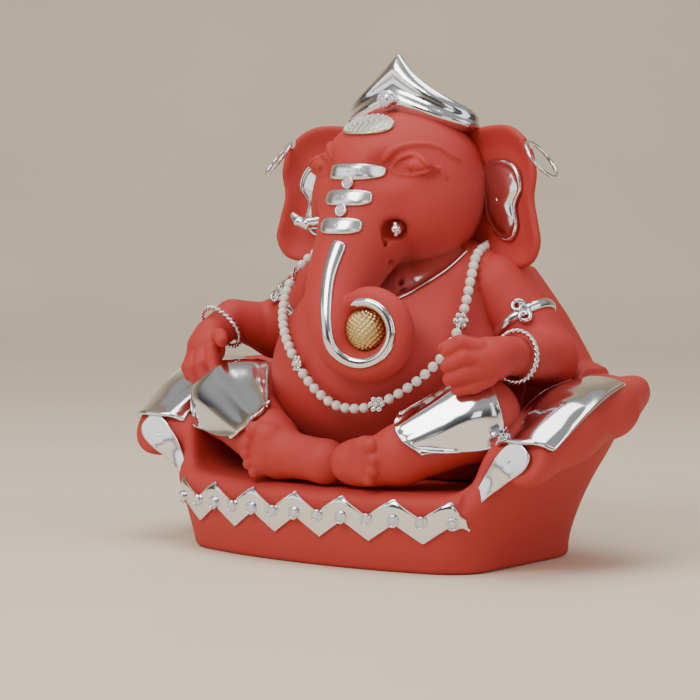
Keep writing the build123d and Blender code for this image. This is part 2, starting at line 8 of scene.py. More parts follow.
import bpy
import numpy as np
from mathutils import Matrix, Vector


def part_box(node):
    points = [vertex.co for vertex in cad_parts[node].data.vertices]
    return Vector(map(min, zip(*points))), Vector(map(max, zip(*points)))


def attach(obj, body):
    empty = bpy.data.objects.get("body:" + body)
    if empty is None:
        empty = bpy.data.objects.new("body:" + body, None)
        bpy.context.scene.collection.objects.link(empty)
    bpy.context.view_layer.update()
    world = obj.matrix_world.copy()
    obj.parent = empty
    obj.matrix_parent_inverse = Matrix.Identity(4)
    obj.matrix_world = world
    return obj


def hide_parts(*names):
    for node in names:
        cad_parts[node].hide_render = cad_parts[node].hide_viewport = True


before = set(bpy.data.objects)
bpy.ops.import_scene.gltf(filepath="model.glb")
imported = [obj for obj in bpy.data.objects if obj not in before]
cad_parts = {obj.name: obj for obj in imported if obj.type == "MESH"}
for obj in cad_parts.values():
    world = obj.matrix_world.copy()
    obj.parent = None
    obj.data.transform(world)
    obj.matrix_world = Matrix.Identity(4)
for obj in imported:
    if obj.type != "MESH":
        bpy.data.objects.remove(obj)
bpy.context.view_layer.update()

import openvdb
from bpy.props import FloatProperty, FloatVectorProperty, IntProperty, PointerProperty
from mathutils import Matrix, Vector

bl_info = {
    "name": "Seated Idol Looks",
    "version": (1, 0, 0),
    "blender": (4, 5, 0),
    "location": "View3D > Sidebar > Idol",
    "description": "Builds the sculpted meshes, plated trim and finishes of a seated idol",
    "category": "Object",
}

MM = 0.001
PLATE = 0.9      # thickness of the plated trim
SIDES = {"left": 1, "right": -1}      # the idol's own sides


# ---- Sizes and colours that a user would change ----------------------------


class FinishSettings(bpy.types.PropertyGroup):
    """Colours and gloss of the idol's finishes."""
    resin_colour: FloatVectorProperty(
        name="Resin", description="Matte red of the cast resin", subtype="COLOR", size=3,
        min=0, max=1, default=(0.205, 0.0022, 0.003))
    resin_deep: FloatVectorProperty(
        name="Resin shade", description="Deeper red in the resin's blotches", subtype="COLOR",
        size=3, min=0, max=1, default=(0.135, 0.0012, 0.002))
    silver_colour: FloatVectorProperty(
        name="Silver plate", description="Bright plating", subtype="COLOR", size=3,
        min=0, max=1, default=(0.86, 0.86, 0.87))
    gold_colour: FloatVectorProperty(
        name="Gold ball", description="Stippled gold of the sweet ball", subtype="COLOR",
        size=3, min=0, max=1, default=(0.80, 0.56, 0.26))
    pale_gold: FloatVectorProperty(
        name="Pale gold", description="Setting of the brow stones", subtype="COLOR", size=3,
        min=0, max=1, default=(0.84, 0.74, 0.55))
    pearl_colour: FloatVectorProperty(
        name="Pearl", description="Off-white of the pearls", subtype="COLOR", size=3,
        min=0, max=1, default=(0.80, 0.77, 0.70))
    resin_roughness: FloatProperty(
        name="Resin roughness", description="How matte the resin is", subtype="FACTOR",
        min=0, max=1, default=0.62)
    silver_roughness: FloatProperty(
        name="Silver roughness", description="How blurred the plating's reflections are",
        subtype="FACTOR", min=0, max=1, default=0.09)


class SculptSettings(bpy.types.PropertyGroup):
    """Fineness of the sculpted meshes."""
    body_step: FloatProperty(
        name="Body step", description="Grid step of the large castings, in millimetres",
        min=0.2, max=2, default=0.67)
    detail_step: FloatProperty(
        name="Detail step", description="Grid step of head, hands and feet, in millimetres",
        min=0.15, max=2, default=0.37)
    pearl_rings: IntProperty(
        name="Pearl rings", description="Rings of faces on one pearl", min=4, max=32, default=10)


class StageSettings(bpy.types.PropertyGroup):
    """Where the camera stands and how strong the lights are."""
    azimuth: FloatProperty(
        name="Azimuth", description="Camera's bearing round the idol, in degrees", default=36.63)
    distance: FloatProperty(
        name="Distance", description="Camera's distance from the idol", unit="LENGTH",
        default=0.716)
    height: FloatProperty(
        name="Height", description="Camera's height over the floor", unit="LENGTH", default=0.101)
    lens: FloatProperty(name="Lens", description="Focal length in millimetres", unit="CAMERA",
                        default=141.2)
    light_power: FloatProperty(
        name="Light power", description="Strength of the key light in watts", unit="POWER",
        default=4.2)


# ---- Clay: sculpting with distances on a grid ------------------------------


def soft_min(a, b, blend):
    """Lower of two distances, rounded over where they are closer than blend."""
    if blend <= 0:
        return np.minimum(a, b)
    near = np.maximum(blend - np.abs(a - b), 0) / blend
    return np.minimum(a, b) - near * near * blend * 0.25


def soft_max(a, b, blend):
    """Higher of two distances, rounded over where they are closer than blend."""
    return -soft_min(-a, -b, blend)


def ball(centre, radius):
    """Distance to a ball."""
    def distance(x, y, z):
        return np.sqrt((x - centre[0]) ** 2 + (y - centre[1]) ** 2 + (z - centre[2]) ** 2) - radius
    return distance


def egg(centre, radii, turn=None):
    """Nearly the distance to an ellipsoid; turn is a 3 by 3 matrix whose rows are its axes."""
    radii = np.asarray(radii, np.float32)

    def distance(x, y, z):
        x, y, z = x - centre[0], y - centre[1], z - centre[2]
        if turn is not None:
            x, y, z = (row[0] * x + row[1] * y + row[2] * z for row in turn)
        reach = np.sqrt((x / radii[0]) ** 2 + (y / radii[1]) ** 2 + (z / radii[2]) ** 2)
        slope = np.sqrt((x / radii[0] ** 2) ** 2 + (y / radii[1] ** 2) ** 2
                        + (z / radii[2] ** 2) ** 2)
        return reach * (reach - 1) / np.maximum(slope, 1e-6)
    return distance


def bone(start, start_radius, end, end_radius):
    """Distance to two balls and the cone that joins them."""
    start, end = np.asarray(start, np.float32), np.asarray(end, np.float32)
    run = end - start
    length2 = float(run @ run)
    narrowing = start_radius - end_radius
    flank2 = max(length2 - narrowing * narrowing, 1e-6)

    def distance(x, y, z):
        x, y, z = x - start[0], y - start[1], z - start[2]
        along = x * run[0] + y * run[1] + z * run[2]
        past = along - length2
        sideways2 = (x * length2 - run[0] * along) ** 2 + (y * length2 - run[1] * along) ** 2 \
            + (z * length2 - run[2] * along) ** 2
        along2, past2 = along * along * length2, past * past * length2
        k = np.sign(narrowing) * narrowing * narrowing * sideways2
        on_end = np.sign(past) * flank2 * past2 > k
        on_start = np.sign(along) * flank2 * along2 < k
        flank = (np.sqrt(sideways2 * flank2 / length2) + along * narrowing) / length2 - start_radius
        near_end = np.sqrt(sideways2 + past2) / length2 - end_radius
        near_start = np.sqrt(sideways2 + along2) / length2 - start_radius
        return np.where(on_end, near_end, np.where(on_start, near_start, flank))
    return distance


def below(level):
    """Distance to everything under a level."""
    return lambda x, y, z: (z - level) + 0 * x + 0 * y


class Clay:
    """A block of clay: distances to its surface, in millimetres, on a grid of even step."""

    def __init__(self, low, high, step):
        self.low = np.asarray(low, np.float32)
        self.step = step
        counts = np.ceil((np.asarray(high) - self.low) / step).astype(int) + 1
        self.axes = [self.low[i] + step * np.arange(counts[i], dtype=np.float32) for i in range(3)]
        self.field = np.full(counts, 30.0, np.float32)

    def window(self, low, high):
        """Slices and coordinates of the part of the grid inside a box."""
        slices = []
        for axis in range(3):
            first = int(np.floor((low[axis] - self.low[axis]) / self.step))
            last = int(np.ceil((high[axis] - self.low[axis]) / self.step)) + 1
            count = self.field.shape[axis]
            slices.append(slice(min(max(first, 0), count), min(max(last, 0), count)))
        x, y, z = (self.axes[i][slices[i]] for i in range(3))
        return tuple(slices), x[:, None, None], y[None, :, None], z[None, None, :]

    def put(self, distance, centre, reach, blend=0.0):
        """Adds a shape that lies within reach of centre."""
        reach = np.asarray(reach, float) + blend + 4 * self.step
        spot, x, y, z = self.window(np.asarray(centre) - reach, np.asarray(centre) + reach)
        self.field[spot] = soft_min(self.field[spot], distance(x, y, z), blend)

    def cut(self, distance, centre, reach, blend=0.0):
        """Takes a shape away."""
        reach = np.asarray(reach, float) + blend + 4 * self.step
        spot, x, y, z = self.window(np.asarray(centre) - reach, np.asarray(centre) + reach)
        self.field[spot] = soft_max(self.field[spot], -distance(x, y, z), blend)

    def add_ball(self, centre, radius, blend=0.0):
        self.put(ball(centre, radius), centre, radius, blend)

    def add_egg(self, centre, radii, blend=0.0, turn=None):
        self.put(egg(centre, radii, turn), centre, max(radii), blend)

    def cut_ball(self, centre, radius, blend=0.0):
        self.cut(ball(centre, radius), centre, radius, blend)

    def cut_egg(self, centre, radii, blend=0.0, turn=None):
        self.cut(egg(centre, radii, turn), centre, max(radii), blend)

    def limb(self, balls, blend=0.0, cut=False):
        """Adds or cuts a limb through balls of given centres and radii."""
        for (start, start_radius), (end, end_radius) in zip(balls, balls[1:]):
            start, end = np.asarray(start, float), np.asarray(end, float)
            middle = (start + end) / 2
            reach = np.abs(end - start) / 2 + max(start_radius, end_radius)
            shape = bone(start, start_radius, end, end_radius)
            (self.cut if cut else self.put)(shape, middle, reach, blend)

    def groove(self, points, radius, blend=0.3):
        """Cuts a fine line through points on the surface."""
        self.limb([(point, radius) for point in points], blend, cut=True)

    def ridge(self, points, radius, blend=0.6):
        """Raises a fine roll through points on the surface."""
        self.limb([(point, radius) for point in points], blend)

    def heights(self, points):
        """Distances at points, read between the grid's own."""
        place = (np.asarray(points, np.float32) - self.low) / self.step
        place = np.clip(place, 0, np.array(self.field.shape) - 1.001)
        whole = place.astype(int)
        part = place - whole
        total = 0.0
        for corner in range(8):
            pick = np.array([corner >> 2 & 1, corner >> 1 & 1, corner & 1])
            share = np.prod(np.where(pick, part, 1 - part), axis=-1)
            spot = whole + pick
            total = total + share * self.field[spot[..., 0], spot[..., 1], spot[..., 2]]
        return total

    def drop(self, points, way, lift=0.0):
        """Moves points along way until they are lift above the surface."""
        points = np.array(points, np.float32).reshape(-1, 3)
        way = np.broadcast_to(np.asarray(way, np.float32), points.shape)
        way = way / np.linalg.norm(way, axis=1, keepdims=True)
        for _ in range(90):
            points = points + way * (np.clip(self.heights(points) - lift, -1, 1) * 0.7)[:, None]
        return points

    def facing(self, points):
        """Outward directions of the surface at points."""
        points = np.asarray(points, np.float32).reshape(-1, 3)
        slopes = [self.heights(points + shift) - self.heights(points - shift)
                  for shift in np.eye(3, dtype=np.float32) * self.step]
        slopes = np.stack(slopes, axis=1)
        return slopes / np.maximum(np.linalg.norm(slopes, axis=1, keepdims=True), 1e-9)

    def mesh(self, name, material, place=None):
        """A smooth closed mesh of the clay's surface, as an object."""
        grid = openvdb.FloatGrid(3.0)
        grid.copyFromArray(np.clip(self.field / self.step, -3, 3))
        points, quads = grid.convertToQuads(0.0)
        points = points * self.step + self.low
        if place is not None:
            points = place(points)
        return make_piece(name, points, quads, material)


def make_piece(name, points, faces, material, smooth=True):
    """A mesh object from millimetre points; faces is an array of equal faces or a list."""
    data = bpy.data.meshes.new(name)
    data.from_pydata(np.asarray(points, float) * MM, [], np.asarray(faces).tolist()
                     if isinstance(faces, np.ndarray) else faces)
    data.validate()
    data.polygons.foreach_set("use_smooth", [smooth] * len(data.polygons))
    data.materials.append(material)
    piece = bpy.data.objects.new(name, data)
    bpy.context.scene.collection.objects.link(piece)
    return piece


def settle(piece, body, slot, *nodes):
    """Rides the piece on its body and hides the CAD nodes that it stands for; its slot argument is
    not used.
    """
    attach(piece, body)
    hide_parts(*nodes)
    return piece


# ---- Small geometry helpers ------------------------------------------------


def unit(vector):
    """A vector of length one."""
    vector = np.asarray(vector, float)
    return vector / np.linalg.norm(vector)


def smooth_line(knots, count, closed=False):
    """Evenly numbered points of a smooth curve through the knots (any number of columns)."""
    knots = np.asarray(knots, float)
    n = len(knots)
    spans = n if closed else n - 1
    points = []
    for share in np.linspace(0, spans, count, endpoint=not closed):
        i = min(int(share), spans - 1)
        t = share - i
        if closed:
            a, b, c, d = (knots[(i + k) % n] for k in (-1, 0, 1, 2))
        else:
            b, c = knots[i], knots[i + 1]
            a = knots[i - 1] if i > 0 else 2 * b - c
            d = knots[i + 2] if i + 2 < n else 2 * c - b
        points.append(0.5 * (2 * b + (c - a) * t + (2 * a - 5 * b + 4 * c - d) * t * t
                             + (3 * b - a - 3 * c + d) * t ** 3))
    return np.array(points)


def even_out(values, times):
    """Evens a row of points, or rows of them, in place, and leaves the first and last."""
    for _ in range(times):
        values[1:-1] = 0.5 * values[1:-1] + 0.25 * (values[:-2] + values[2:])


def sheet_piece(name, front, thickness, material, closed_u=False):
    """A closed plate: a grid of points in front and the same grid thickness behind."""
    rows, columns = front.shape[:2]
    across = np.gradient(front, axis=0)
    along = np.gradient(front, axis=1)
    if closed_u:
        across = (np.roll(front, -1, axis=0) - np.roll(front, 1, axis=0)) / 2
    normal = np.cross(across, along)
    normal /= np.maximum(np.linalg.norm(normal, axis=2, keepdims=True), 1e-9)
    thickness = np.broadcast_to(thickness, (rows, columns))[..., None]
    back = front - normal * thickness
    points = np.concatenate([front.reshape(-1, 3), back.reshape(-1, 3)])
    half = rows * columns
    faces = []
    last_row = rows if closed_u else rows - 1
    for i in range(last_row):
        j = (i + 1) % rows
        for k in range(columns - 1):
            a, b, c, d = i * columns + k, j * columns + k, j * columns + k + 1, i * columns + k + 1
            faces.append((a, b, c, d))
            faces.append((half + d, half + c, half + b, half + a))
        for k, flip in ((0, False), (columns - 1, True)):
            a, b = i * columns + k, j * columns + k
            faces.append((half + a, half + b, b, a) if not flip else (a, b, half + b, half + a))
    if not closed_u:
        for i, flip in ((0, True), (rows - 1, False)):
            for k in range(columns - 1):
                a, b = i * columns + k, i * columns + k + 1
                faces.append((half + a, half + b, b, a) if flip else (a, b, half + b, half + a))
    return make_piece(name, points, faces, material)


def tube_parts(rings, closed=False):
    """Points and faces of a tube through rings of points, capped unless it is closed."""
    rings = np.asarray(rings)
    count, around = rings.shape[:2]
    faces = []
    for i in range(count if closed else count - 1):
        j = (i + 1) % count
        for k in range(around):
            m = (k + 1) % around
            faces.append((i * around + k, i * around + m, j * around + m, j * around + k))
    if not closed:
        faces.append(tuple(range(around - 1, -1, -1)))
        faces.append(tuple((count - 1) * around + k for k in range(around)))
    return rings.reshape(-1, 3), faces


def wire_ring(middle, first, second, radius, count):
    """One round section of a wire: count points about its middle in two directions."""
    return [middle + radius * (first * cos(turn) + second * sin(turn))
            for turn in np.linspace(0, 2 * pi, count, endpoint=False)]


def joined(name, parts, material, smooth=True):
    """One mesh of many (points, faces) parts."""
    points, faces, start = [], [], 0
    for part_points, part_faces in parts:
        points.append(np.asarray(part_points, float))
        faces += [tuple(start + index for index in face) for face in part_faces]
        start += len(part_points)
    return make_piece(name, np.concatenate(points), faces, material, smooth)


def frame_at(normal, up=(0, 0, 1)):
    """Rows are right, up and the given normal."""
    normal = unit(normal)
    right = unit(np.cross(up, normal))
    return np.array([right, np.cross(normal, right), normal])


def lathe(profile, count, centre, axes):
    """Points and faces of a profile of (radius, height) turned about the third row of axes."""
    points, faces = [], []
    rows = len(profile)
    for step in range(count):
        angle = 2 * pi * step / count
        for radius, height in profile:
            points.append(np.asarray(centre) + radius * cos(angle) * axes[0]
                          + radius * sin(angle) * axes[1] + height * axes[2])
    for step in range(count):
        after = (step + 1) % count
        for row in range(rows - 1):
            faces.append((step * rows + row, after * rows + row, after * rows + row + 1,
                          step * rows + row + 1))
    return points, faces


def brilliant(centre, axes, radius, height, facets=8):
    """A cut stone: flat table, sloping crown facets and a plain girdle."""
    table, girdle = 0.55 * radius, radius
    points = [np.asarray(centre) + height * axes[2]]
    for ring_radius, rise, shift in ((table, height, 0.0), (girdle, height * 0.35, 0.5),
                                     (girdle, -0.3, 0.5)):
        for step in range(facets):
            angle = 2 * pi * (step + shift) / facets
            points.append(np.asarray(centre) + ring_radius * (cos(angle) * axes[0]
                          + sin(angle) * axes[1]) + rise * axes[2])
    faces = []
    first, second, third = 1, 1 + facets, 1 + 2 * facets
    for k in range(facets):
        m = (k + 1) % facets
        faces.append((0, first + k, first + m))
        faces.append((first + k, second + k, first + m))
        faces.append((first + m, second + k, second + m))
        faces.append((second + k, third + k, third + m, second + m))
    faces.append(tuple(third + k for k in range(facets - 1, -1, -1)))
    return points, faces


def bezel(centre, axes, radius, wire=0.34, lift=0.35):
    """A round collet: a low ring with a rounded lip."""
    profile = [(radius + wire, -0.5), (radius + wire, lift * 0.5),
               (radius + wire * 0.7, lift), (radius, lift * 1.15),
               (radius - wire * 0.5, lift * 0.8), (radius - wire * 0.6, -0.3)]
    return lathe(profile, 20, centre, axes)


# ---- Materials -------------------------------------------------------------


def new_group(name, inputs, outputs):
    """An empty node group with the given sockets, and its input and output nodes."""
    group = bpy.data.node_groups.new(name, "ShaderNodeTree")
    for socket, kind, value in inputs:
        made = group.interface.new_socket(socket, in_out="INPUT", socket_type=kind)
        if value is not None:
            made.default_value = value
    for socket, kind in outputs:
        group.interface.new_socket(socket, in_out="OUTPUT", socket_type=kind)
    return group, group.nodes.new("NodeGroupInput"), group.nodes.new("NodeGroupOutput")


def texture(nodes, links, kind, scale=None, detail=None):
    """A procedural texture in the piece's own coordinates."""
    place = nodes.new("ShaderNodeTexCoord")
    made = nodes.new(f"ShaderNodeTex{kind}")
    links.new(place.outputs["Object"], made.inputs["Vector"])
    if scale is not None:
        made.inputs["Scale"].default_value = scale
    if detail is not None:
        made.inputs["Detail"].default_value = detail
    return made


def grain_group():
    """Fine cast grain: a height and a blotch mask from two sizes of noise."""
    group, taken, given = new_group(
        "cast_grain",
        [("Grain Scale", "NodeSocketFloat", 1800.0), ("Blotch Scale", "NodeSocketFloat", 60.0)],
        [("Height", "NodeSocketFloat"), ("Blotch", "NodeSocketFloat")])
    nodes, links = group.nodes, group.links
    fine = texture(nodes, links, "Noise", detail=3.0)
    coarse = texture(nodes, links, "Noise", 420.0, 2.0)
    blotch = texture(nodes, links, "Noise", detail=4.0)
    links.new(taken.outputs["Grain Scale"], fine.inputs["Scale"])
    links.new(taken.outputs["Blotch Scale"], blotch.inputs["Scale"])
    mix = nodes.new("ShaderNodeMath")
    mix.operation = "MULTIPLY_ADD"
    mix.inputs[1].default_value = 0.6
    links.new(fine.outputs["Fac"], mix.inputs[0])
    links.new(coarse.outputs["Fac"], mix.inputs[2])
    links.new(mix.outputs[0], given.inputs["Height"])
    spread = nodes.new("ShaderNodeMapRange")
    spread.inputs["From Min"].default_value = 0.38
    spread.inputs["From Max"].default_value = 0.66
    links.new(blotch.outputs["Fac"], spread.inputs["Value"])
    links.new(spread.outputs["Result"], given.inputs["Blotch"])
    return group


def plating_group():
    """Faint waves and smears of hand-polished plating: a height and a roughness."""
    group, taken, given = new_group(
        "plating_wear",
        [("Wave Scale", "NodeSocketFloat", 140.0), ("Least Roughness", "NodeSocketFloat", 0.06),
         ("Most Roughness", "NodeSocketFloat", 0.16)],
        [("Height", "NodeSocketFloat"), ("Roughness", "NodeSocketFloat")])
    nodes, links = group.nodes, group.links
    wave = texture(nodes, links, "Noise", detail=1.0)
    smear = texture(nodes, links, "Noise", 320.0, 5.0)
    links.new(taken.outputs["Wave Scale"], wave.inputs["Scale"])
    spread = nodes.new("ShaderNodeMapRange")
    spread.inputs["From Min"].default_value = 0.4
    spread.inputs["From Max"].default_value = 0.75
    links.new(smear.outputs["Fac"], spread.inputs["Value"])
    links.new(taken.outputs["Least Roughness"], spread.inputs["To Min"])
    links.new(taken.outputs["Most Roughness"], spread.inputs["To Max"])
    links.new(wave.outputs["Fac"], given.inputs["Height"])
    links.new(spread.outputs["Result"], given.inputs["Roughness"])
    return group


def blend_colours(nodes, links, factor, first, second, shader):
    """Feeds a blend of two colours into the shader."""
    mix = nodes.new("ShaderNodeMix")
    mix.data_type = "RGBA"
    mix.inputs["A"].default_value = (*first, 1)
    mix.inputs["B"].default_value = (*second, 1)
    links.new(factor, mix.inputs["Factor"])
    links.new(mix.outputs["Result"], shader.inputs["Base Color"])


def start_material(name):
    """A material with its Principled shader, and its nodes and links."""
    material = bpy.data.materials.new(name)
    material.use_nodes = True
    tree = material.node_tree
    return material, tree.nodes["Principled BSDF"], tree.nodes, tree.links


def bump_from(nodes, links, height, shader, strength, distance):
    """Feeds a height into the shader's normal."""
    bump = nodes.new("ShaderNodeBump")
    bump.inputs["Strength"].default_value = strength
    bump.inputs["Distance"].default_value = distance
    links.new(height, bump.inputs["Height"])
    links.new(bump.outputs["Normal"], shader.inputs["Normal"])


def resin_material(finish, grain):
    """Matte red resin: sandy grain and soft blotches of a deeper red."""
    material, shader, nodes, links = start_material("red_resin")
    effect = nodes.new("ShaderNodeGroup")
    effect.node_tree = grain
    blend_colours(nodes, links, effect.outputs["Blotch"], finish.resin_deep, finish.resin_colour,
                  shader)
    shader.inputs["Roughness"].default_value = finish.resin_roughness
    shader.inputs["Specular IOR Level"].default_value = 0.2
    shader.inputs["Sheen Weight"].default_value = 0.04
    shader.inputs["Sheen Roughness"].default_value = 0.5
    shader.inputs["Sheen Tint"].default_value = (1.0, 0.55, 0.5, 1)
    bump_from(nodes, links, effect.outputs["Height"], shader, 0.35, 0.00012)
    return material


def plated_material(name, colour, wear, least, most, strength=0.12):
    """Bright plating of one colour."""
    material, shader, nodes, links = start_material(name)
    effect = nodes.new("ShaderNodeGroup")
    effect.node_tree = wear
    effect.inputs["Least Roughness"].default_value = least
    effect.inputs["Most Roughness"].default_value = most
    shader.inputs["Base Color"].default_value = (*colour, 1)
    shader.inputs["Metallic"].default_value = 1.0
    links.new(effect.outputs["Roughness"], shader.inputs["Roughness"])
    bump_from(nodes, links, effect.outputs["Height"], shader, strength, 0.0006)
    return material


def stone_material():
    """Clear cut stones with a silvered back: bright facets with a trace of cool colour."""
    material, shader, nodes, links = start_material("rhinestone")
    cells = texture(nodes, links, "Voronoi", 1400.0)
    ramp = nodes.new("ShaderNodeValToRGB")
    ramp.color_ramp.elements[0].color = (0.62, 0.68, 0.78, 1)
    ramp.color_ramp.elements[1].color = (1.0, 1.0, 1.0, 1)
    links.new(cells.outputs["Color"], ramp.inputs["Fac"])
    links.new(ramp.outputs["Color"], shader.inputs["Base Color"])
    shader.inputs["Metallic"].default_value = 0.82
    shader.inputs["Roughness"].default_value = 0.05
    shader.inputs["Coat Weight"].default_value = 1.0
    shader.inputs["Coat Roughness"].default_value = 0.02
    return material


def pearl_material(finish):
    """Pearl lustre: off-white with a soft sheen and a clear coat."""
    material, shader, nodes, links = start_material("pearl")
    cloud = texture(nodes, links, "Noise", 500.0)
    blend_colours(nodes, links, cloud.outputs["Fac"], finish.pearl_colour, (0.86, 0.80, 0.79),
                  shader)
    shader.inputs["Roughness"].default_value = 0.28
    shader.inputs["Coat Weight"].default_value = 0.8
    shader.inputs["Coat Roughness"].default_value = 0.08
    shader.inputs["Sheen Weight"].default_value = 0.25
    shader.inputs["Sheen Tint"].default_value = (1.0, 0.93, 0.9, 1)
    return material


def thread_material():
    """Twisted off-white thread."""
    material, shader, nodes, links = start_material("thread")
    twist = texture(nodes, links, "Wave", 900.0)
    shader.inputs["Base Color"].default_value = (0.8, 0.77, 0.7, 1)
    shader.inputs["Roughness"].default_value = 0.7
    bump_from(nodes, links, twist.outputs["Fac"], shader, 0.5, 0.0001)
    return material


def floor_material():
    """Plain pale floor."""
    material, shader, nodes, links = start_material("pale_floor")
    mottle = texture(nodes, links, "Noise", 14.0)
    blend_colours(nodes, links, mottle.outputs["Fac"], (0.74, 0.63, 0.47), (0.82, 0.71, 0.55),
                  shader)
    shader.inputs["Roughness"].default_value = 0.75
    return material


def get(name):
    """A finished material by name."""
    return bpy.data.materials[name]


# ---- Shared landmarks of the idol, in millimetres --------------------------

LEG_BALLS = {
    "left": [((22, -8, 33), 13), ((39.5, -31, 37), 9.8), ((26, -43.5, 28.5), 7.4)],
    "right": [((-22, -8, 33), 13), ((-39.5, -31, 37), 9.8), ((-16, -43.5, 28.5), 7.4)],
}
BALL_CENTRE = np.array((13.0, -41.0, 58.2))
BALL_RADIUS = 5.6
CURL_TURN = radians(12)
CURL_RIGHT = np.array((cos(CURL_TURN), sin(CURL_TURN), 0.0))
UP = np.array((0.0, 0.0, 1.0))


def curl_spot(angle, reach):
    """A place on the trunk's curl, by its angle from the curl's right-hand side."""
    angle = radians(angle)
    return BALL_CENTRE + CURL_RIGHT * reach * cos(angle) + UP * reach * sin(angle)


TRUNK_TOP = [(0, -17, 90.5, 13.8), (0, -23.5, 84.5, 10.4), (0, -28.7, 78, 8.4),
             (-0.2, -33.4, 71, 7.1), (0.9, -37.8, 64.3, 6.1)]
TRUNK_CURL = [(182, 9.4, 5.1), (215, 9.2, 4.6), (250, 9.0, 4.0), (285, 9.0, 3.7), (320, 9.1, 3.4),
              (355, 9.1, 3.1), (390, 8.6, 2.9), (425, 8.0, 2.6), (455, 7.7, 2.3), (480, 7.5, 1.8)]
TRUNK = TRUNK_TOP + [(*curl_spot(angle, reach), radius) for angle, reach, radius in TRUNK_CURL]


# ---- Sofa, trim and belly --------------------------------------------------


def profile_line(knots, z):
    """Value of a smooth line of (height, value) knots at z."""
    line = smooth_line(knots, 80)
    return np.interp(z, line[:, 0], line[:, 1])


HALF_WIDTH_LINE = [(0, 45.5), (5, 46), (12, 48.5), (20, 52.5), (28, 57.5), (36, 62), (44, 66.5),
                   (55, 69), (76, 69)]
BACK_LINE = [(0, 16.5), (15, 18), (30, 21), (50, 23.5), (76, 24.4)]
FRONT_LINE = [(0, -50.6), (6, -52), (13, -53), (17, -53.4), (19.6, -52.2), (24, -50)]
CREST_LINE = [(0, 74.6), (12, 74), (19.7, 72), (30.5, 60.5), (40.5, 48.5), (52, 45.6),
              (69.8, 45.6)]
ARM_TOP_LINE = [(-45, 29), (-38, 32.4), (-32, 36.6), (-24, 41.6), (-12, 44.6), (30, 46)]


def sofa_clay(step):
    """The tub sofa: a flaring hull with a scooped seat, rolled arms and a peaked back."""
    clay = Clay((-70, -55.5, -2), (70, 26.5, 77), step)
    x, y, z = np.meshgrid(*clay.axes, indexing="ij", sparse=True)
    half = profile_line(HALF_WIDTH_LINE, z)
    back = profile_line(BACK_LINE, z)
    front = profile_line(FRONT_LINE, np.minimum(z, 24.0))
    wide = np.abs(x)
    waist = -8.0
    rear = np.maximum(y - waist, 0) / np.maximum(back - waist, 1)
    round_rear = ((wide / half) ** 2.6 + rear ** 2.6) ** (1 / 2.6)
    hull = (round_rear - 1) * np.minimum(half, 34)
    front_bow = front + 8.0 * (wide / 46) ** 2.2
    arm_front = np.where(z > 20, np.minimum(-36.5, front_bow + 0.12 * (z - 20)), front_bow)
    clay.field = soft_max(hull, (arm_front - y) * 0.93, 8)
    clay.field = soft_max(clay.field, -z, 1.2)
    crest = np.interp(wide, *np.array(CREST_LINE).T)
    arms = np.interp(y, *np.array(ARM_TOP_LINE).T)
    top = np.where(wide > 46, np.minimum(arms, crest), crest)
    clay.field = soft_max(clay.field, (z - top) * 0.75, 3.0)
    for flip in (-1, 1):
        roll = [((flip * 59.2, -38.5, 28.4), 6.2), ((flip * 61.6, -24, 34.0), 5.6),
                ((flip * 63.6, -8, 38.4), 4.4), ((flip * 60.0, 8, 41.0), 2.6)]
        clay.limb(roll, 6)
    flat = np.where((z > 16) & (wide > 44), -43.8 + 0.3 * (z - 18), -80.0)
    clay.field = soft_max(clay.field, (flat - y) * 0.95, 1.2)
    hollow_half = np.clip(43.5 + (z - 20) * 0.30, 40, 51)
    hollow = ((wide / hollow_half) ** 2.4 + (np.maximum(y + 14, 0) / 31.0) ** 2.4) ** (1 / 2.4)
    hollow = soft_max((hollow - 1) * 30, 19.5 - z + 0 * y, 4.0)
    clay.field = soft_max(clay.field, -hollow, 3.0)
    clay.field = np.maximum(clay.field, wide - 69.4 + 0 * y + 0 * z)
    return clay


def front_height(clay, x, z, y=-70.0, lift=0.0):
    """The clay's front surface seen from -Y at given x and z, as points."""
    points = np.stack(np.broadcast_arrays(x, y, z), axis=-1).astype(np.float32)
    shape = points.shape
    points = points.reshape(-1, 3)
    points[:, 1] = np.maximum(points[:, 1], clay.low[1] + 0.1)
    return clay.drop(points, (0, 1, 0), lift).reshape(shape)


ZIGZAG = [(-45.6, 12.4)] + [(7.1 * step, 15.3 if step % 2 == 0 else 10.7)
                            for step in range(-6, 7)] + [(45.6, 12.4)]


def zigzag_trim(clay):
    """Points on the front of the plated zigzag band along the seat."""
    knots = np.array(ZIGZAG)
    count = 253
    places = np.linspace(knots[0, 0], knots[-1, 0], count)
    centre = np.interp(places, knots[:, 0], knots[:, 1])
    ends = np.clip((45.6 - np.abs(places)) / 2.2, 0.45, 1)
    rows = 15
    grid = np.zeros((rows, count, 3))
    for row, part in enumerate(np.linspace(-1, 1, rows)):
        lift = 0.55 + 0.30 * np.sqrt(np.maximum(1 - abs(part) ** 3, 0))
        spot = front_height(clay, places, centre + 3.1 * part * ends)
        spot[:, 1] -= lift
        grid[row] = spot
    return grid[::-1]


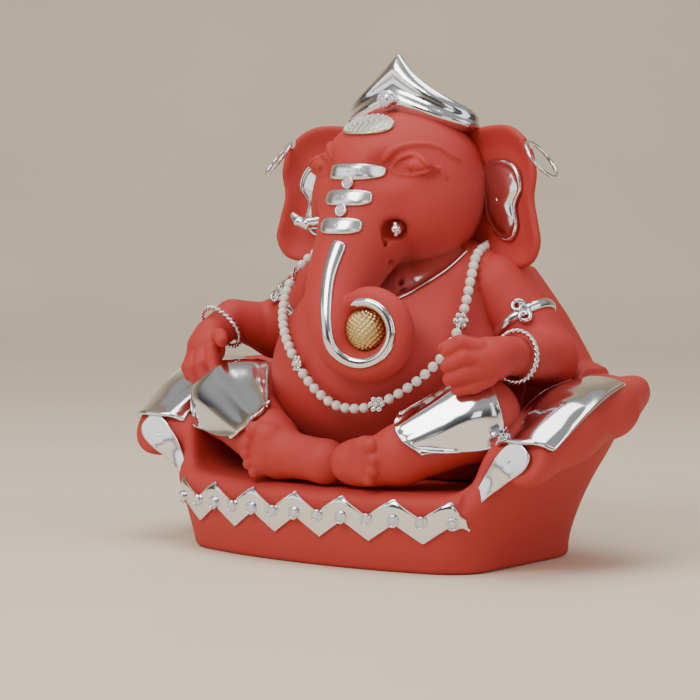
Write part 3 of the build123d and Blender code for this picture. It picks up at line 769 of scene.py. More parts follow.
def build_sofa():
    """The cast sofa and everything plated on its front."""
    sculpt = bpy.context.scene.idol_sculpt
    clay = sofa_clay(sculpt.body_step)
    piece = clay.mesh("Sofa", get("red_resin"))
    settle(piece, "root", "red_resin", "sofa")
    band = sheet_piece("Zigzag_Band", zigzag_trim(clay), PLATE, get("silver_plate"))
    settle(band, "root", "silver_plate", "zigzag_band")
    settings, stones = [], []
    for x, z in ZIGZAG[1:-1]:
        height = z - 2.2 if z > 13 else z + 2.4
        spot = front_height(clay, x, height).reshape(1, 3)[0]
        facing = clay.facing(spot)[0]
        spot = spot + facing * 1.0
        axes = frame_at(facing)
        settings.append(bezel(spot, axes, 1.3, lift=0.55))
        stones.append(brilliant(spot + facing * 0.15, axes, 1.15, 0.62))
    piece = joined("Band_Bezels", settings, get("silver_plate"))
    settle(piece, "root", "silver_plate", "band_bezels")
    piece = joined("Band_Stones", stones, get("rhinestone"), smooth=False)
    settle(piece, "root", "rhinestone", "band_stones")
    for side in SIDES:
        settle(inlay(side, clay), "root", "silver_plate", f"{side}_inlay")
        settle(arm_cap(side, clay), "root", "silver_plate", f"{side}_arm_cap")


def arm_cap(side, clay):
    """The saddle-shaped plate draped over the front end of one sofa arm."""
    flip = SIDES[side]
    along = np.linspace(0, 1, 48)[None, :]
    across = np.linspace(-1, 1, 41)[:, None]
    rise = smooth_line([(0, 34.4), (0.3, 40.6), (0.65, 45.2), (1, 47.0)], 60)
    height = np.interp(along, rise[:, 0], rise[:, 1])
    half = 9.6 - 1.8 * along ** 2 + 0.8 * np.sin(pi * along)
    nose = 2.4 * (1 - np.abs(across) ** 1.7) * (1 - along) ** 4
    tips = 1.2 * np.abs(across) ** 3 * (1 - along)
    x = flip * (58.3 + 1.4 * along + half * across * (1 - 0.12 * (1 - along) * across ** 2))
    y = -39.6 + 31 * along ** 0.9 + tips - nose
    droop = 3.2 * np.abs(across) ** 2.6 * (1 - 0.5 * along)
    z = height - droop - 0.9 * np.cos(across * pi / 2) ** 2 * (1 - along)
    over = np.stack(np.broadcast_arrays(x, y, 70.0 + 0 * z), axis=-1)
    seat = clay.drop(over, (0, 0, -1)).reshape(over.shape)[..., 2]
    for _ in range(6):
        seat[1:-1] = np.maximum(seat[1:-1], 0.5 * (seat[:-2] + seat[2:]))
    z = np.maximum(z, np.minimum(seat + 0.35, z + 3.5))
    for _ in range(10):
        z[1:-1, 1:-1] = 0.2 * (z[1:-1, 1:-1] + z[:-2, 1:-1] + z[2:, 1:-1] + z[1:-1, :-2]
                               + z[1:-1, 2:])
    z = z + 0.45 * np.exp(-((1 - np.abs(across)) / 0.07) ** 2)
    grid = np.stack(np.broadcast_arrays(x, y, z), axis=-1).astype(float)
    if flip < 0:
        grid = grid[::-1]
    return sheet_piece(f"{side.title()}_Arm_Cap", grid, PLATE, get("silver_plate"))


def inlay(side, clay):
    """The paisley plate let into the front of one sofa arm."""
    flip = SIDES[side]
    line = smooth_line([(58.6, 33.0), (61.8, 30.2), (60.6, 26.8), (56.6, 24.0), (51.6, 20.8),
                        (47.4, 17.6), (45.6, 18.3), (47.8, 23.2), (51.2, 28.4), (54.8, 32.2)],
                       96, closed=True)
    centre = np.array([56.0, 28.4])
    rings = 15
    grid = np.zeros((96, rings, 3))
    for ring, share in enumerate(np.linspace(1, 0.02, rings)):
        line_at = centre + (line - centre) * share
        dome = 0.45 + 0.55 * (1 - share ** 3.2) + 0.25 * np.exp(-((share - 0.92) / 0.05) ** 2)
        spot = front_height(clay, flip * line_at[:, 0], line_at[:, 1])
        spot[:, 1] = np.clip(spot[:, 1], -46, -36)
        grid[:, ring] = spot - np.array((0, 1, 0)) * dome
    x, y, z = (grid[..., i].ravel() for i in range(3))
    terms = np.stack([np.ones_like(x), x, z, z * z], axis=1)
    even = terms @ np.linalg.lstsq(terms, y, rcond=None)[0]
    grid[..., 1] = (0.85 * even + 0.15 * y).reshape(grid.shape[:2]) - 0.35
    if flip > 0:
        grid = grid[::-1]
    return sheet_piece(f"{side.title()}_Inlay", grid, 1.1, get("silver_plate"), closed_u=True)


def build_torso():
    """Belly, chest and shoulders; gives back the clay that the collar lies on."""
    sculpt = bpy.context.scene.idol_sculpt
    clay = Clay((-40, -42, 17), (40, 22, 92), sculpt.body_step)
    for flip in (-1, 1):
        clay.add_egg((flip * 7.5, -11.5, 44), (27.2, 26.2, 27), 6)
        clay.add_egg((flip * 11.5, -6.5, 62), (17.4, 16, 16.5), 6)
        clay.add_egg((flip * 10.2, -16.8, 64.5), (9.6, 7.6, 7.8), 3.5)
        clay.limb([((flip * 15, -4, 70), 10), ((flip * 27, -5, 67.5), 8.4)], 4)
        clay.limb([((flip * 12, -8, 27), 12), ((flip * 25, -16, 29), 11)], 5)
    clay.limb([((0, -4, 66), 14), ((0, -8, 84), 13)], 5)
    clay.cut_egg((0, -39.3, 38.4), (2.3, 2.2, 1.7), 1.6)
    crease = [(x, -12 - (29.6 ** 2 - (x * 0.86) ** 2) ** 0.5, 33 + 0.006 * x * x)
              for x in np.linspace(-17, 17, 12)]
    clay.groove(crease, 0.8, 1.6)
    clay.cut(below(19.6), (0, 0, 0), (60, 60, 20), 1.5)
    piece = clay.mesh("Torso", get("red_resin"))
    settle(piece, "root", "red_resin", "torso")
    return clay


# ---- Head, trunk and ears --------------------------------------------------

EAR_SWEEP = {"left": radians(14), "right": radians(20)}
EAR_LINE = [(-6, 100), (-1, 107.0), (8, 109.2), (17, 108.8), (23.8, 104.0), (26.2, 97),
            (25.4, 90.5), (26.8, 84.5), (27.8, 78.8), (24.8, 73.6), (18, 72.2), (10, 74.0),
            (1, 76.5), (-5, 86)]


def ear_frame(side):
    """Root, outward direction and forward direction of one ear."""
    flip, sweep = SIDES[side], EAR_SWEEP[side]
    out = np.array((flip * cos(sweep), -sin(sweep), 0.0))
    ahead = np.array((-flip * sin(sweep), -cos(sweep), 0.0))
    return np.array((flip * 15.5, -1.0, 0.0)), out, ahead


def ear_field(side):
    """Distance to one cupped ear: thick rim, thin middle and a hole for the earring."""
    root, out, ahead = ear_frame(side)
    line = smooth_line(EAR_LINE, 90, closed=True)

    def distance(x, y, z):
        x, y, z = np.broadcast_arrays(x, y, z)
        u = (x - root[0]) * out[0] + (y - root[1]) * out[1]
        n = (x - root[0]) * ahead[0] + (y - root[1]) * ahead[1]
        closest = np.full(u.shape, 900.0, np.float32)
        inside = np.zeros(u.shape, bool)
        for a, b in zip(line, np.roll(line, -1, axis=0)):
            du, dz = b[0] - a[0], b[1] - a[1]
            share = np.clip(((u - a[0]) * du + (z - a[1]) * dz) / (du * du + dz * dz), 0, 1)
            closest = np.minimum(closest, (u - a[0] - share * du) ** 2
                                 + (z - a[1] - share * dz) ** 2)
            crosses = (a[1] > z) != (b[1] > z)
            if dz != 0:
                inside ^= crosses & (u < a[0] + (z - a[1]) * du / dz)
        edge = np.sqrt(closest) * np.where(inside, -1, 1)
        depth = np.clip(-edge / 6.5, 0, 1)
        middle = -0.2 - 1.5 * depth * depth * (3 - 2 * depth) + 0.9
        half = 1.25 - 0.35 * depth
        shape = soft_max(edge + 0.5, np.abs(n - middle) - half, 1.7)
        hole = np.sqrt((u - 23.2) ** 2 + (z - 104.2) ** 2) - 1.35
        return soft_max(shape, -hole, 0.5)
    return distance


def build_ear(side):
    """One ear and its kidney-shaped plate."""
    sculpt = bpy.context.scene.idol_sculpt
    root, out, ahead = ear_frame(side)
    flip = SIDES[side]
    low = (12, -17, 70) if flip > 0 else (-46, -19, 70)
    high = (46, 6, 111) if flip > 0 else (-12, 6, 111)
    clay = Clay(low, high, sculpt.detail_step * 1.3)
    spot, x, y, z = clay.window(low, high)
    clay.field[spot] = ear_field(side)(x, y, z)
    piece = clay.mesh(f"{side.title()}_Ear", get("red_resin"))
    settle(piece, "root", "red_resin", f"{side}_ear")
    line = smooth_line([(6.2, 98.4), (11.8, 100.2), (18.2, 98.6), (20.8, 93.2), (18.4, 88.6),
                        (19.2, 83.2), (16.4, 79.4), (11.4, 80.6), (7.4, 85.6), (6.8, 90.2)],
                       84, closed=True)
    centre = np.array([12.8, 90.0])
    grid = np.zeros((84, 17, 3))
    for ring, share in enumerate(np.linspace(1, 0.02, 17)):
        spread = centre + (line - centre) * share
        rim = 0.75 * np.exp(-((share - 0.93) / 0.045) ** 2)
        dome = 1.6 * (1 - share ** 2.4)
        for point, (u, z) in enumerate(spread):
            grid[point, ring] = root + out * u + ahead * (0.55 + rim + dome) + UP * z
    if flip > 0:
        grid = grid[::-1]
    piece = sheet_piece(f"{side.title()}_Ear_Plate", grid, 0.8, get("silver_plate"), closed_u=True)
    settle(piece, "root", "silver_plate", f"{side}_ear_plate")


EYE_PLACE = (14.6, 98.4)
EYE_RIDGES = (
    ([(-5.2, -0.9), (-3.4, 1.5), (-0.6, 2.7), (2.4, 1.9), (4.6, -0.4), (6.0, -2.8)], 0.42),
    ([(-5.0, -1.2), (-2.6, -2.1), (0.2, -2.3), (2.8, -1.7), (4.8, -0.9)], 0.32),
    ([(-6.4, 1.6), (-4.0, 4.2), (-0.6, 5.4), (3.0, 4.6), (6.2, 1.6)], 0.55),
)
EYE_GROOVES = (
    ([(-4.6, -0.8), (-3.0, 1.0), (-0.5, 1.9), (2.2, 1.2), (4.2, -0.6)], 0.3),
    ([(-4.4, -1.0), (-2.4, -1.5), (0.2, -1.7), (2.6, -1.2), (4.2, -0.7)], 0.24),
)


def eye_line(clay, eye, flip, line):
    """Points on the face along a line given about the eye."""
    knots = smooth_line(line, 18)
    spots = np.stack([eye[0] + flip * knots[:, 0], np.full(18, -45.0), eye[2] + knots[:, 1]],
                     axis=1)
    return [tuple(spot) for spot in clay.drop(spots, (0, 1, 0))]


def build_head():
    """Head, cheeks, eyes, mouth hollows and the coiling trunk."""
    sculpt = bpy.context.scene.idol_sculpt
    clay = Clay((-26, -53, 44), (26, 14, 114), sculpt.detail_step)
    for flip in (-1, 1):
        clay.add_egg((flip * 3.4, -9, 93.2), (19.3, 19.8, 19.0), 4)
        clay.add_egg((flip * 9.0, -14, 86), (13.2, 13.0, 12.4), 6)
    clay.add_egg((0, -20, 97), (13, 12.2, 11), 6)
    clay.limb([((x, y, z), r) for x, y, z, r in smooth_line(TRUNK[:6], 14)], 4.5)
    clay.limb([((x, y, z), r) for x, y, z, r in smooth_line(TRUNK[4:], 46)], 1.2)
    for flip in (-1, 1):
        clay.cut_egg((flip * 12.0, -30.5, 98.0), (5.2, 4.4, 3.4), 4.0)
        eye = clay.drop((flip * EYE_PLACE[0], -45, EYE_PLACE[1]), (0, 1, 0))[0]
        clay.add_egg(eye + (0, 1.6, 0), (4.6, 2.6, 2.5), 0.8)
        for line, radius in EYE_RIDGES:
            clay.ridge(eye_line(clay, eye, flip, line), radius, 0.7)
        for line, radius in EYE_GROOVES:
            clay.groove(eye_line(clay, eye, flip, line), radius, 0.25)
        pupil = clay.drop((eye[0], -45, eye[2] - 0.1), (0, 1, 0))[0]
        clay.add_ball(pupil + (0, 0.55, 0), 1.15, 0.2)
        clay.cut_egg((flip * 11.4, -28.0, 82.6), (3.0, 3.6, 2.6), 1.6)
        fold = [(flip * a, b, c) for a, b, c in
                ((10.0, -30.0, 80.2), (8.4, -29.5, 76.6), (8.8, -26.5, 73.4))]
        clay.groove(fold, 0.7, 1.6)
    clay.cut(egg(BALL_CENTRE, (BALL_RADIUS - 0.2,) * 3), BALL_CENTRE, BALL_RADIUS, 0.3)
    piece = clay.mesh("Head_and_Trunk", get("red_resin"))
    settle(piece, "root", "red_resin", "head")
    return clay


def build_ball():
    """The stippled gold ball in the curl of the trunk."""
    spots = fibonacci(330)
    points, faces = sphere_mesh(144, 96)
    close = np.max(points @ spots.T, axis=1)
    bump = np.clip((close - cos(0.10)) / (1 - cos(0.10)), 0, 1) ** 0.6
    points = BALL_CENTRE + points * (BALL_RADIUS - 0.45 + 0.4 * bump)[:, None]
    piece = make_piece("Sweet_Ball", points, faces, get("gold_ball"))
    settle(piece, "root", "gold_ball", "sweet_ball")


def fibonacci(count):
    """Even directions over a ball."""
    index = np.arange(count) + 0.5
    z = 1 - 2 * index / count
    turn = pi * (1 + 5 ** 0.5) * index
    flat = np.sqrt(1 - z * z)
    return np.stack([flat * np.cos(turn), flat * np.sin(turn), z], axis=1)


def sphere_mesh(around, rows):
    """Points and faces of a ball of radius one."""
    points = [(0.0, 0.0, 1.0)]
    for row in range(1, rows):
        tilt = pi * row / rows
        for step in range(around):
            turn = 2 * pi * step / around
            points.append((sin(tilt) * cos(turn), sin(tilt) * sin(turn), cos(tilt)))
    points.append((0.0, 0.0, -1.0))
    faces = [(0, 1 + k, 1 + (k + 1) % around) for k in range(around)]
    for row in range(rows - 2):
        for k in range(around):
            m = (k + 1) % around
            a, b = 1 + row * around, 1 + (row + 1) * around
            faces.append((a + k, b + k, b + m, a + m))
    last = 1 + (rows - 2) * around
    faces += [(len(points) - 1, last + (k + 1) % around, last + k) for k in range(around)]
    return np.array(points), faces


# ---- Legs, feet, arms and hands --------------------------------------------


def leg_clay(side, step):
    """One folded leg with its foot, its toes apart and its sole turned forward."""
    flip = SIDES[side]
    low = (6, -55.6, 18) if flip > 0 else (-54, -55.6, 18)
    high = (54, 6, 50) if flip > 0 else (13, 6, 50)
    clay = Clay(low, high, step)
    hip, knee, ankle = LEG_BALLS[side]
    clay.limb([hip, knee], 2)
    clay.limb([knee, ankle], 3)
    if flip > 0:
        clay.limb([((25, -43.5, 28.0), 6.6), ((20.0, -46.0, 26.4), 6.0)], 2.5)
        clay.add_egg((16.4, -47.2, 26.2), (6.0, 5.2, 6.0), 2.0)
        toes = [((21.6, -51.0, 30.6), 2.2), ((22.8, -51.2, 27.4), 1.9), ((22.6, -51.4, 24.8), 1.7),
                ((21.4, -51.2, 22.5), 1.5)]
        heel = (13.0, -47.4, 25.8)
        pad = [((19.2, -50.0, 30.2), 2.8), ((19.6, -50.2, 24.0), 2.6)]
    else:
        clay.limb([((-16, -43.5, 28.5), 6.8), ((-10, -46.6, 26.6), 6.4)], 2.5)
        clay.limb([((-10, -46.8, 26.6), 5.9), ((4.4, -47.4, 25.6), 5.3)], 2.0)
        toes = [((-14.4, -51.6, 32.4), 2.3), ((-16.2, -51.8, 29.2), 2.0),
                ((-16.6, -52.0, 26.5), 1.8), ((-16.0, -52.0, 24.0), 1.6),
                ((-14.6, -51.6, 21.9), 1.5)]
        heel = (5.4, -47.6, 25.4)
        pad = [((-11.6, -50.2, 31.0), 3.2), ((-12.4, -50.6, 25.0), 3.2)]
    clay.add_ball(heel, 5.2, 2.0)
    clay.limb(pad, 1.8)
    for centre, radius in toes:
        back = (centre[0] - 1.2 * flip, centre[1] + 2.4, centre[2])
        clay.limb([(back, radius * 0.9), (centre, radius)], 0.35)
    clay.cut(below(19.4), (0, -24, 10), (60, 60, 12), 0.8)
    return clay


def build_leg(side):
    """One leg and the smooth plate over its shin."""
    sculpt = bpy.context.scene.idol_sculpt
    clay = leg_clay(side, sculpt.detail_step * 1.15)
    piece = clay.mesh(f"{side.title()}_Leg", get("red_resin"))
    settle(piece, "root", "red_resin", f"{side}_leg")
    knee, ankle = (np.array(ball[0], float) for ball in LEG_BALLS[side][1:])
    flip = SIDES[side]
    columns, rows = 84, 56
    shin = ankle - knee
    along_way = unit(shin)
    start, end = (-0.28, 0.98) if flip > 0 else (-0.34, 1.0)
    ahead = unit(np.cross(along_way, UP)) * (-flip)
    if ahead[1] > 0:
        ahead = -ahead
    over = unit(np.cross(along_way, ahead))
    if over[2] < 0:
        over = -over
    grid = np.zeros((rows, columns, 3))
    way = np.zeros_like(grid)
    for column, share in enumerate(np.linspace(0, 1, columns)):
        top = 128 - 38 * share ** 2
        bottom = -34 + 34 * share ** 2
        for row, part in enumerate(np.linspace(0, 1, rows)):
            pull = 0.13 * abs(2 * part - 1) ** 3 * (1 - 2 * share)
            axis = knee + shin * (start + (end - start) * (share + pull))
            angle = radians(bottom + (top - bottom) * part)
            grid[row, column] = axis + 18 * (ahead * cos(angle) + over * sin(angle))
            way[row, column] = axis - grid[row, column]
    seated = clay.drop(grid, way.reshape(-1, 3), 0.0).reshape(grid.shape)
    outward = -way / np.linalg.norm(way, axis=2, keepdims=True)
    for _ in range(60):
        even_out(seated.swapaxes(0, 1), 1)
        even_out(seated, 1)
    share = np.linspace(0, 1, columns)[None, :]
    part = np.linspace(0, 1, rows)[:, None]
    folds = 0.2 * np.cos(part * 2 * pi * 3.2 + 1.1 * share) * np.sin(pi * part) ** 0.5
    rim = 0.35 * (np.exp(-(part / 0.03) ** 2) + np.exp(-((1 - part) / 0.03) ** 2)
                  + np.exp(-(share / 0.03) ** 2) + np.exp(-((1 - share) / 0.03) ** 2))
    grid = seated + outward * (1.2 + folds + rim)[..., None]
    normal_sign = np.cross(grid[1, 1] - grid[0, 1], grid[1, 2] - grid[1, 1]) @ outward[1, 1]
    if normal_sign < 0:
        grid = grid[::-1]
    piece = sheet_piece(f"{side.title()}_Shin_Cover", grid, PLATE, get("silver_plate"))
    settle(piece, "root", "silver_plate", f"{side}_shin_cover")


def arm_clay(side, step):
    """One arm and hand with separate fingers and a narrow wrist for the bangle."""
    flip = SIDES[side]
    low = (20, -48, 42) if flip > 0 else (-60, -42, 40)
    high = (56, 6, 78) if flip > 0 else (-20, 6, 78)
    clay = Clay(low, high, step)
    if flip > 0:
        clay.limb([((28, -5, 67), 9.3), ((42.6, -5.5, 50.6), 7.4)], 2)
        clay.limb([((42.6, -5.5, 50.6), 7.4), ((46, -18.2, 51.4), 5.4)], 2)
        clay.limb([((46, -18.2, 51.4), 4.9), ((46, -30.0, 52.7), 4.75)], 1.0)
        clay.add_egg((44.8, -34.6, 51.8), (6.4, 6.6, 5.6), 1.6)
        fingers = [
            [((45.2, -38.6, 55.0), 2.1), ((42.0, -41.4, 56.2), 1.9), ((38.8, -42.8, 54.0), 1.7)],
            [((46.2, -38.4, 52.4), 2.2), ((43.0, -42.0, 52.6), 2.0), ((39.4, -43.6, 50.6), 1.8)],
            [((46.6, -37.8, 49.8), 2.1), ((43.6, -41.4, 48.9), 2.0), ((39.8, -43.4, 47.4), 1.7)],
            [((46.6, -36.4, 47.4), 1.9), ((44.4, -39.6, 45.8), 1.8), ((40.8, -41.6, 44.8), 1.5)],
            [((41.0, -33.4, 54.6), 2.2), ((37.6, -36.8, 55.6), 1.9), ((35.6, -39.8, 54.4), 1.7)]]
    else:
        clay.limb([((-28, -5, 67), 9.3), ((-43.3, -8, 54.2), 7.2)], 2)
        clay.limb([((-43.3, -8, 54.2), 7.2), ((-48.7, -20.0, 57.8), 5.0)], 2)
        clay.limb([((-48.7, -20.0, 57.8), 4.7), ((-49.8, -27.5, 53.4), 4.6)], 1.0)
        clay.add_egg((-48.8, -30.6, 50.4), (5.6, 4.4, 5.2), 1.6)
        fingers = [
            [((-45.2, -32.4, 50.2), 2.1), ((-42.6, -35.2, 48.4), 1.9), ((-41.0, -36.4, 45.4), 1.6)],
            [((-47.4, -33.2, 49.4), 2.2), ((-45.6, -36.4, 46.6), 2.0), ((-44.4, -36.8, 43.4), 1.6)],
            [((-49.8, -33.2, 48.6), 2.2), ((-48.8, -36.2, 45.6), 1.9), ((-47.8, -36.2, 42.8), 1.6)],
            [((-52.0, -32.0, 48.6), 2.0), ((-51.6, -34.6, 45.4), 1.8), ((-50.8, -34.8, 43.2), 1.5)],
            [((-45.4, -29.6, 53.2), 2.2), ((-41.6, -33.4, 54.0), 1.9), ((-38.8, -36.0, 53.0), 1.6)]]
    for finger in fingers:
        clay.limb(finger, 0.5)
    return clay


ARMBAND_AXIS = {
    "left": (np.array((28, -5, 67.0)), np.array((43, -5.5, 50.0))),
    "right": (np.array((-28, -5, 67.0)), np.array((-43.5, -8, 54.0))),
}


def build_arm(side):
    """One arm with its hand, and the curled open band round the upper arm."""
    sculpt = bpy.context.scene.idol_sculpt
    clay = arm_clay(side, sculpt.detail_step)
    piece = clay.mesh(f"{side.title()}_Arm", get("red_resin"))
    settle(piece, "root", "red_resin", f"{side}_arm")
    shoulder, elbow = ARMBAND_AXIS[side]
    way = unit(elbow - shoulder)
    centre = shoulder + (elbow - shoulder) * 0.42
    front = unit(np.cross(way, (0, 0, 1)))
    if front[1] > 0:
        front = -front
    outer = np.cross(way, front)
    if outer[0] * SIDES[side] < 0:
        outer = -outer
    turns = np.linspace(radians(-95), radians(230), 90)
    share = np.linspace(0, 1, 90)
    out = front * np.cos(turns)[:, None] + outer * np.sin(turns)[:, None]
    start = clay.drop(centre + out * 14 + way * (1.6 * np.sin(share * pi))[:, None], -out)
    even_out(start, 4)
    ring = np.linspace(0, 2 * pi, 14, endpoint=False)
    half = 1.0 + 0.35 * np.sin(share * pi)
    rings = start[:, None] + way * (half[:, None] * np.cos(ring))[..., None] \
        + out[:, None] * (0.1 + 0.75 * np.sin(ring))[None, :, None]
    piece = make_piece(f"{side.title()}_Armband", *tube_parts(rings), get("silver_plate"))
    settle(piece, "root", "silver_plate", f"{side}_armband")
    face = unit(front * cos(radians(38)) + outer * sin(radians(38)))
    across = unit(np.cross(face, way))
    curls = []
    for lean in (-1, 1):
        hub = clay.drop(centre + face * 14 + way * (1.5 + lean * 1.5), -face, 0.35)[0]
        curl = []
        for step in np.linspace(0, 1, 40):
            angle = step * 2 * pi * 1.15 - 0.6
            reach = 1.75 * (1 - 0.6 * step)
            away = across * cos(angle) + way * lean * sin(angle)
            middle = hub + away * reach + face * (0.25 + 0.5 * step)
            curl.append(wire_ring(middle, away, face, 0.62 * (1 - 0.3 * step), 10))
        curls.append(tube_parts(curl))
    piece = joined(f"{side.title()}_Armband_Curls", curls, get("silver_plate"))
    settle(piece, "root", "silver_plate", f"{side}_armband")


BANGLES = {
    "left": ((46.1, -24.65, 51.95), (-0.0172, -0.9915, 0.1293)),
    "right": ((-49.3, -24.0, 55.6), (-0.1172, -0.8193, -0.5613)),
}


BANGLE_RADIUS = 6.3
BANGLE_WIRE = 0.4        # radius of each of the two wires
BANGLE_LAY = 0.34        # how far each wire runs from the middle of the rope
BANGLE_TWISTS = 14


def build_bangle(side):
    """One loose rope-twist bangle, made of two wires wound round each other."""
    centre, axis = (np.array(part, float) for part in BANGLES[side])
    axes = frame_at(axis)
    parts = []
    for strand in range(2):
        rings = []
        for around in np.linspace(0, 2 * pi, 168, endpoint=False):
            twist = around * BANGLE_TWISTS + pi * strand
            out = axes[0] * cos(around) + axes[1] * sin(around)
            middle = centre + out * (BANGLE_RADIUS + BANGLE_LAY * cos(twist)) \
                + axes[2] * BANGLE_LAY * sin(twist)
            rings.append(wire_ring(middle, out, axes[2], BANGLE_WIRE, 8))
        parts.append(tube_parts(rings, closed=True))
    piece = joined(f"{side.title()}_Bangle", parts, get("silver_plate"))
    settle(piece, f"{side}_bangle", "silver_plate", f"{side}_bangle")


EARRING_RADIUS = 5.5
EARRING_WIRE = 0.45      # radius of the wire


def build_earring(side):
    """One wire hoop through the ear, at the place of its CAD node."""
    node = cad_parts[f"{side}_earring"]
    corners = np.array([node.matrix_world @ vertex.co for vertex in node.data.vertices]) / MM
    centre = corners.mean(axis=0)
    first, second, normal = np.linalg.svd(corners - centre, full_matrices=False)[2]
    rings = []
    for around in np.linspace(0, 2 * pi, 72, endpoint=False):
        out = first * cos(around) + second * sin(around)
        rings.append(wire_ring(centre + out * EARRING_RADIUS, out, normal, EARRING_WIRE, 12))
    piece = make_piece(f"{side.title()}_Earring", *tube_parts(rings, closed=True),
                       get("silver_plate"))
    settle(piece, f"{side}_earring", "silver_plate", f"{side}_earring")


def build_tusk(side):
    """One plated tusk peg: the right one long, the left one broken short."""
    if side == "right":
        balls = [((-12.4, -27.6, 84.0), 1.7), ((-15.0, -29.9, 83.6), 1.45),
                 ((-17.4, -30.6, 84.2), 1.15), ((-19.4, -30.4, 85.8), 0.7)]
    else:
        balls = [((11.2, -26.2, 83.2), 1.8), ((12.4, -28.6, 82.6), 1.5)]
    clay = Clay((-24, -34, 78), (18, -20, 92), 0.22)
    clay.limb(balls, 0.4)
    if side == "left":
        hook = [((12.2, -29.6, 84.2), 0.5), ((13.6, -30.4, 84.0), 0.5), ((14.4, -30.6, 82.6), 0.5),
                ((13.6, -30.4, 81.2), 0.45)]
        clay.limb(hook, 0.15)
    piece = clay.mesh(f"{side.title()}_Tusk", get("silver_plate"))
    settle(piece, "root", "silver_plate", f"{side}_tusk")


# ---- Crown, brow plate, bars, stones and stripe ----------------------------


def crown_field(step):
    """The crown: a polished ring, low at the back, that rises in chevrons to a front peak."""
    clay = Clay((-21, -20, 104), (21, 12, 128), step)
    x, y, z = np.meshgrid(*clay.axes, indexing="ij", sparse=True)
    lean = 0.17 * np.maximum(z - 110, 0)
    cx, cy = x / 18.0, (y + 4.6 - lean) / 10.4
    turn = np.abs(np.arctan2(cx, -cy))
    radius = np.sqrt(cx * cx + cy * cy)
    size = 14.0
    rise = np.exp(-turn / 0.95)
    foot = 106.6 + 5.0 * np.exp(-(turn / 0.9) ** 2)
    top = 109.6 + 17.4 * rise + 0.35 * np.maximum(0, 1 - turn / 0.25)
    height = np.clip((z - foot) / np.maximum(top - foot, 1.0), 0, 1)
    folds = 0.8 * np.sin(pi * np.clip(height * 1.25, 0, 1)) \
        - 0.55 * np.cos(height * 2 * 2 * pi) * (0.25 + rise)
    wall = np.abs(radius * size - size + 0.9 - folds) - 1.3
    clay.field = soft_max(soft_max(wall, (z - top) * 0.7, 1.0), (foot - z) * 0.8, 1.0)
    return clay


def build_crown():
    """The crown and the stone-set drop on its front."""
    sculpt = bpy.context.scene.idol_sculpt
    clay = crown_field(sculpt.detail_step)
    clay.field = np.maximum(clay.field, (clay.axes[2] - 126.9)[None, None, :])
    piece = clay.mesh("Crown", get("silver_plate"))
    settle(piece, "root", "silver_plate", "crown")
    gem_low, gem_high = (np.array(corner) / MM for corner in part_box("crown_gem"))
    middle = (gem_low + gem_high) / 2
    half_x, half_z = (gem_high[0] - gem_low[0]) / 2, (gem_high[2] - gem_low[2]) / 2
    base = Clay(gem_low - 2, gem_high + 2, 0.2)
    tilt = frame_at((0, -1, 0.22))
    base.add_egg(middle + (0, 0.9, 0), (half_x * 0.98, half_z * 0.98, 1.7), 0, tilt)
    piece = base.mesh("Crown_Gem_Setting", get("silver_plate"))
    settle(piece, "root", "silver_plate", "crown_gem")
    stones = []
    for ring, count in ((0, 1), (0.46, 6), (0.84, 13)):
        for step in range(count):
            angle = 2 * pi * step / count + ring
            spot = middle + tilt[0] * half_x * 0.9 * ring * cos(angle) \
                + tilt[1] * half_z * 0.9 * ring * sin(angle)
            spot = base.drop(spot - (0, 6, 0), (0, 1, 0), 0.02)[0]
            axes = frame_at(base.facing(spot)[0])
            stones.append(brilliant(spot, axes, 0.52, 0.34, 6))
    piece = joined("Crown_Gem_Stones", stones, get("rhinestone"), smooth=False)
    settle(piece, "root", "rhinestone", "crown_gem")


def build_brow(head):
    """The oval brow plate, tiled with small stones in a pale gold setting."""
    origin = np.array((0, -22.2, 106.8))
    axes = frame_at((0, -0.72, 0.72))
    turn = np.linspace(0, 2 * pi, 72, endpoint=False)[:, None]
    share = np.linspace(1, 0.02, 12)[None, :]
    grid = origin + (7.5 * share * np.cos(turn))[..., None] * axes[0] \
        + (4.7 * share * np.sin(turn))[..., None] * axes[1] + axes[2] * 5
    seats = head.drop(grid, -axes[2]).reshape(grid.shape)
    lift = 0.7 + 0.3 * np.exp(-((share - 0.95) / 0.05) ** 2) + 0.25 * (1 - share * share)
    grid = seats + axes[2] * lift[..., None]
    piece = sheet_piece("Brow_Plate", grid, PLATE, get("pale_gold"), closed_u=True)
    settle(piece, "root", "pale_gold", "brow_plate")
    stones = []
    for ring, count in ((0.0, 1), (0.24, 6), (0.46, 12), (0.68, 18), (0.87, 24)):
        for step in range(count):
            angle = 2 * pi * (step + 0.5 * (count % 4 == 0)) / count
            point = origin + axes[0] * 7.5 * ring * cos(angle) \
                + axes[1] * 4.7 * ring * sin(angle) + axes[2] * 5
            seat = head.drop(point, -axes[2])[0] + axes[2] * (0.95 + 0.2 * (1 - ring * ring))
            facing = unit(head.facing(seat)[0] + axes[2])
            stones.append(brilliant(seat, frame_at(facing), 0.52, 0.32, 6))
    piece = joined("Brow_Stones", stones, get("rhinestone"), smooth=False)
    settle(piece, "root", "rhinestone", "brow_stones")


BARS = {"upper": (96.9, 7.3), "middle": (90.4, 6.6), "lower": (83.4, 5.7)}


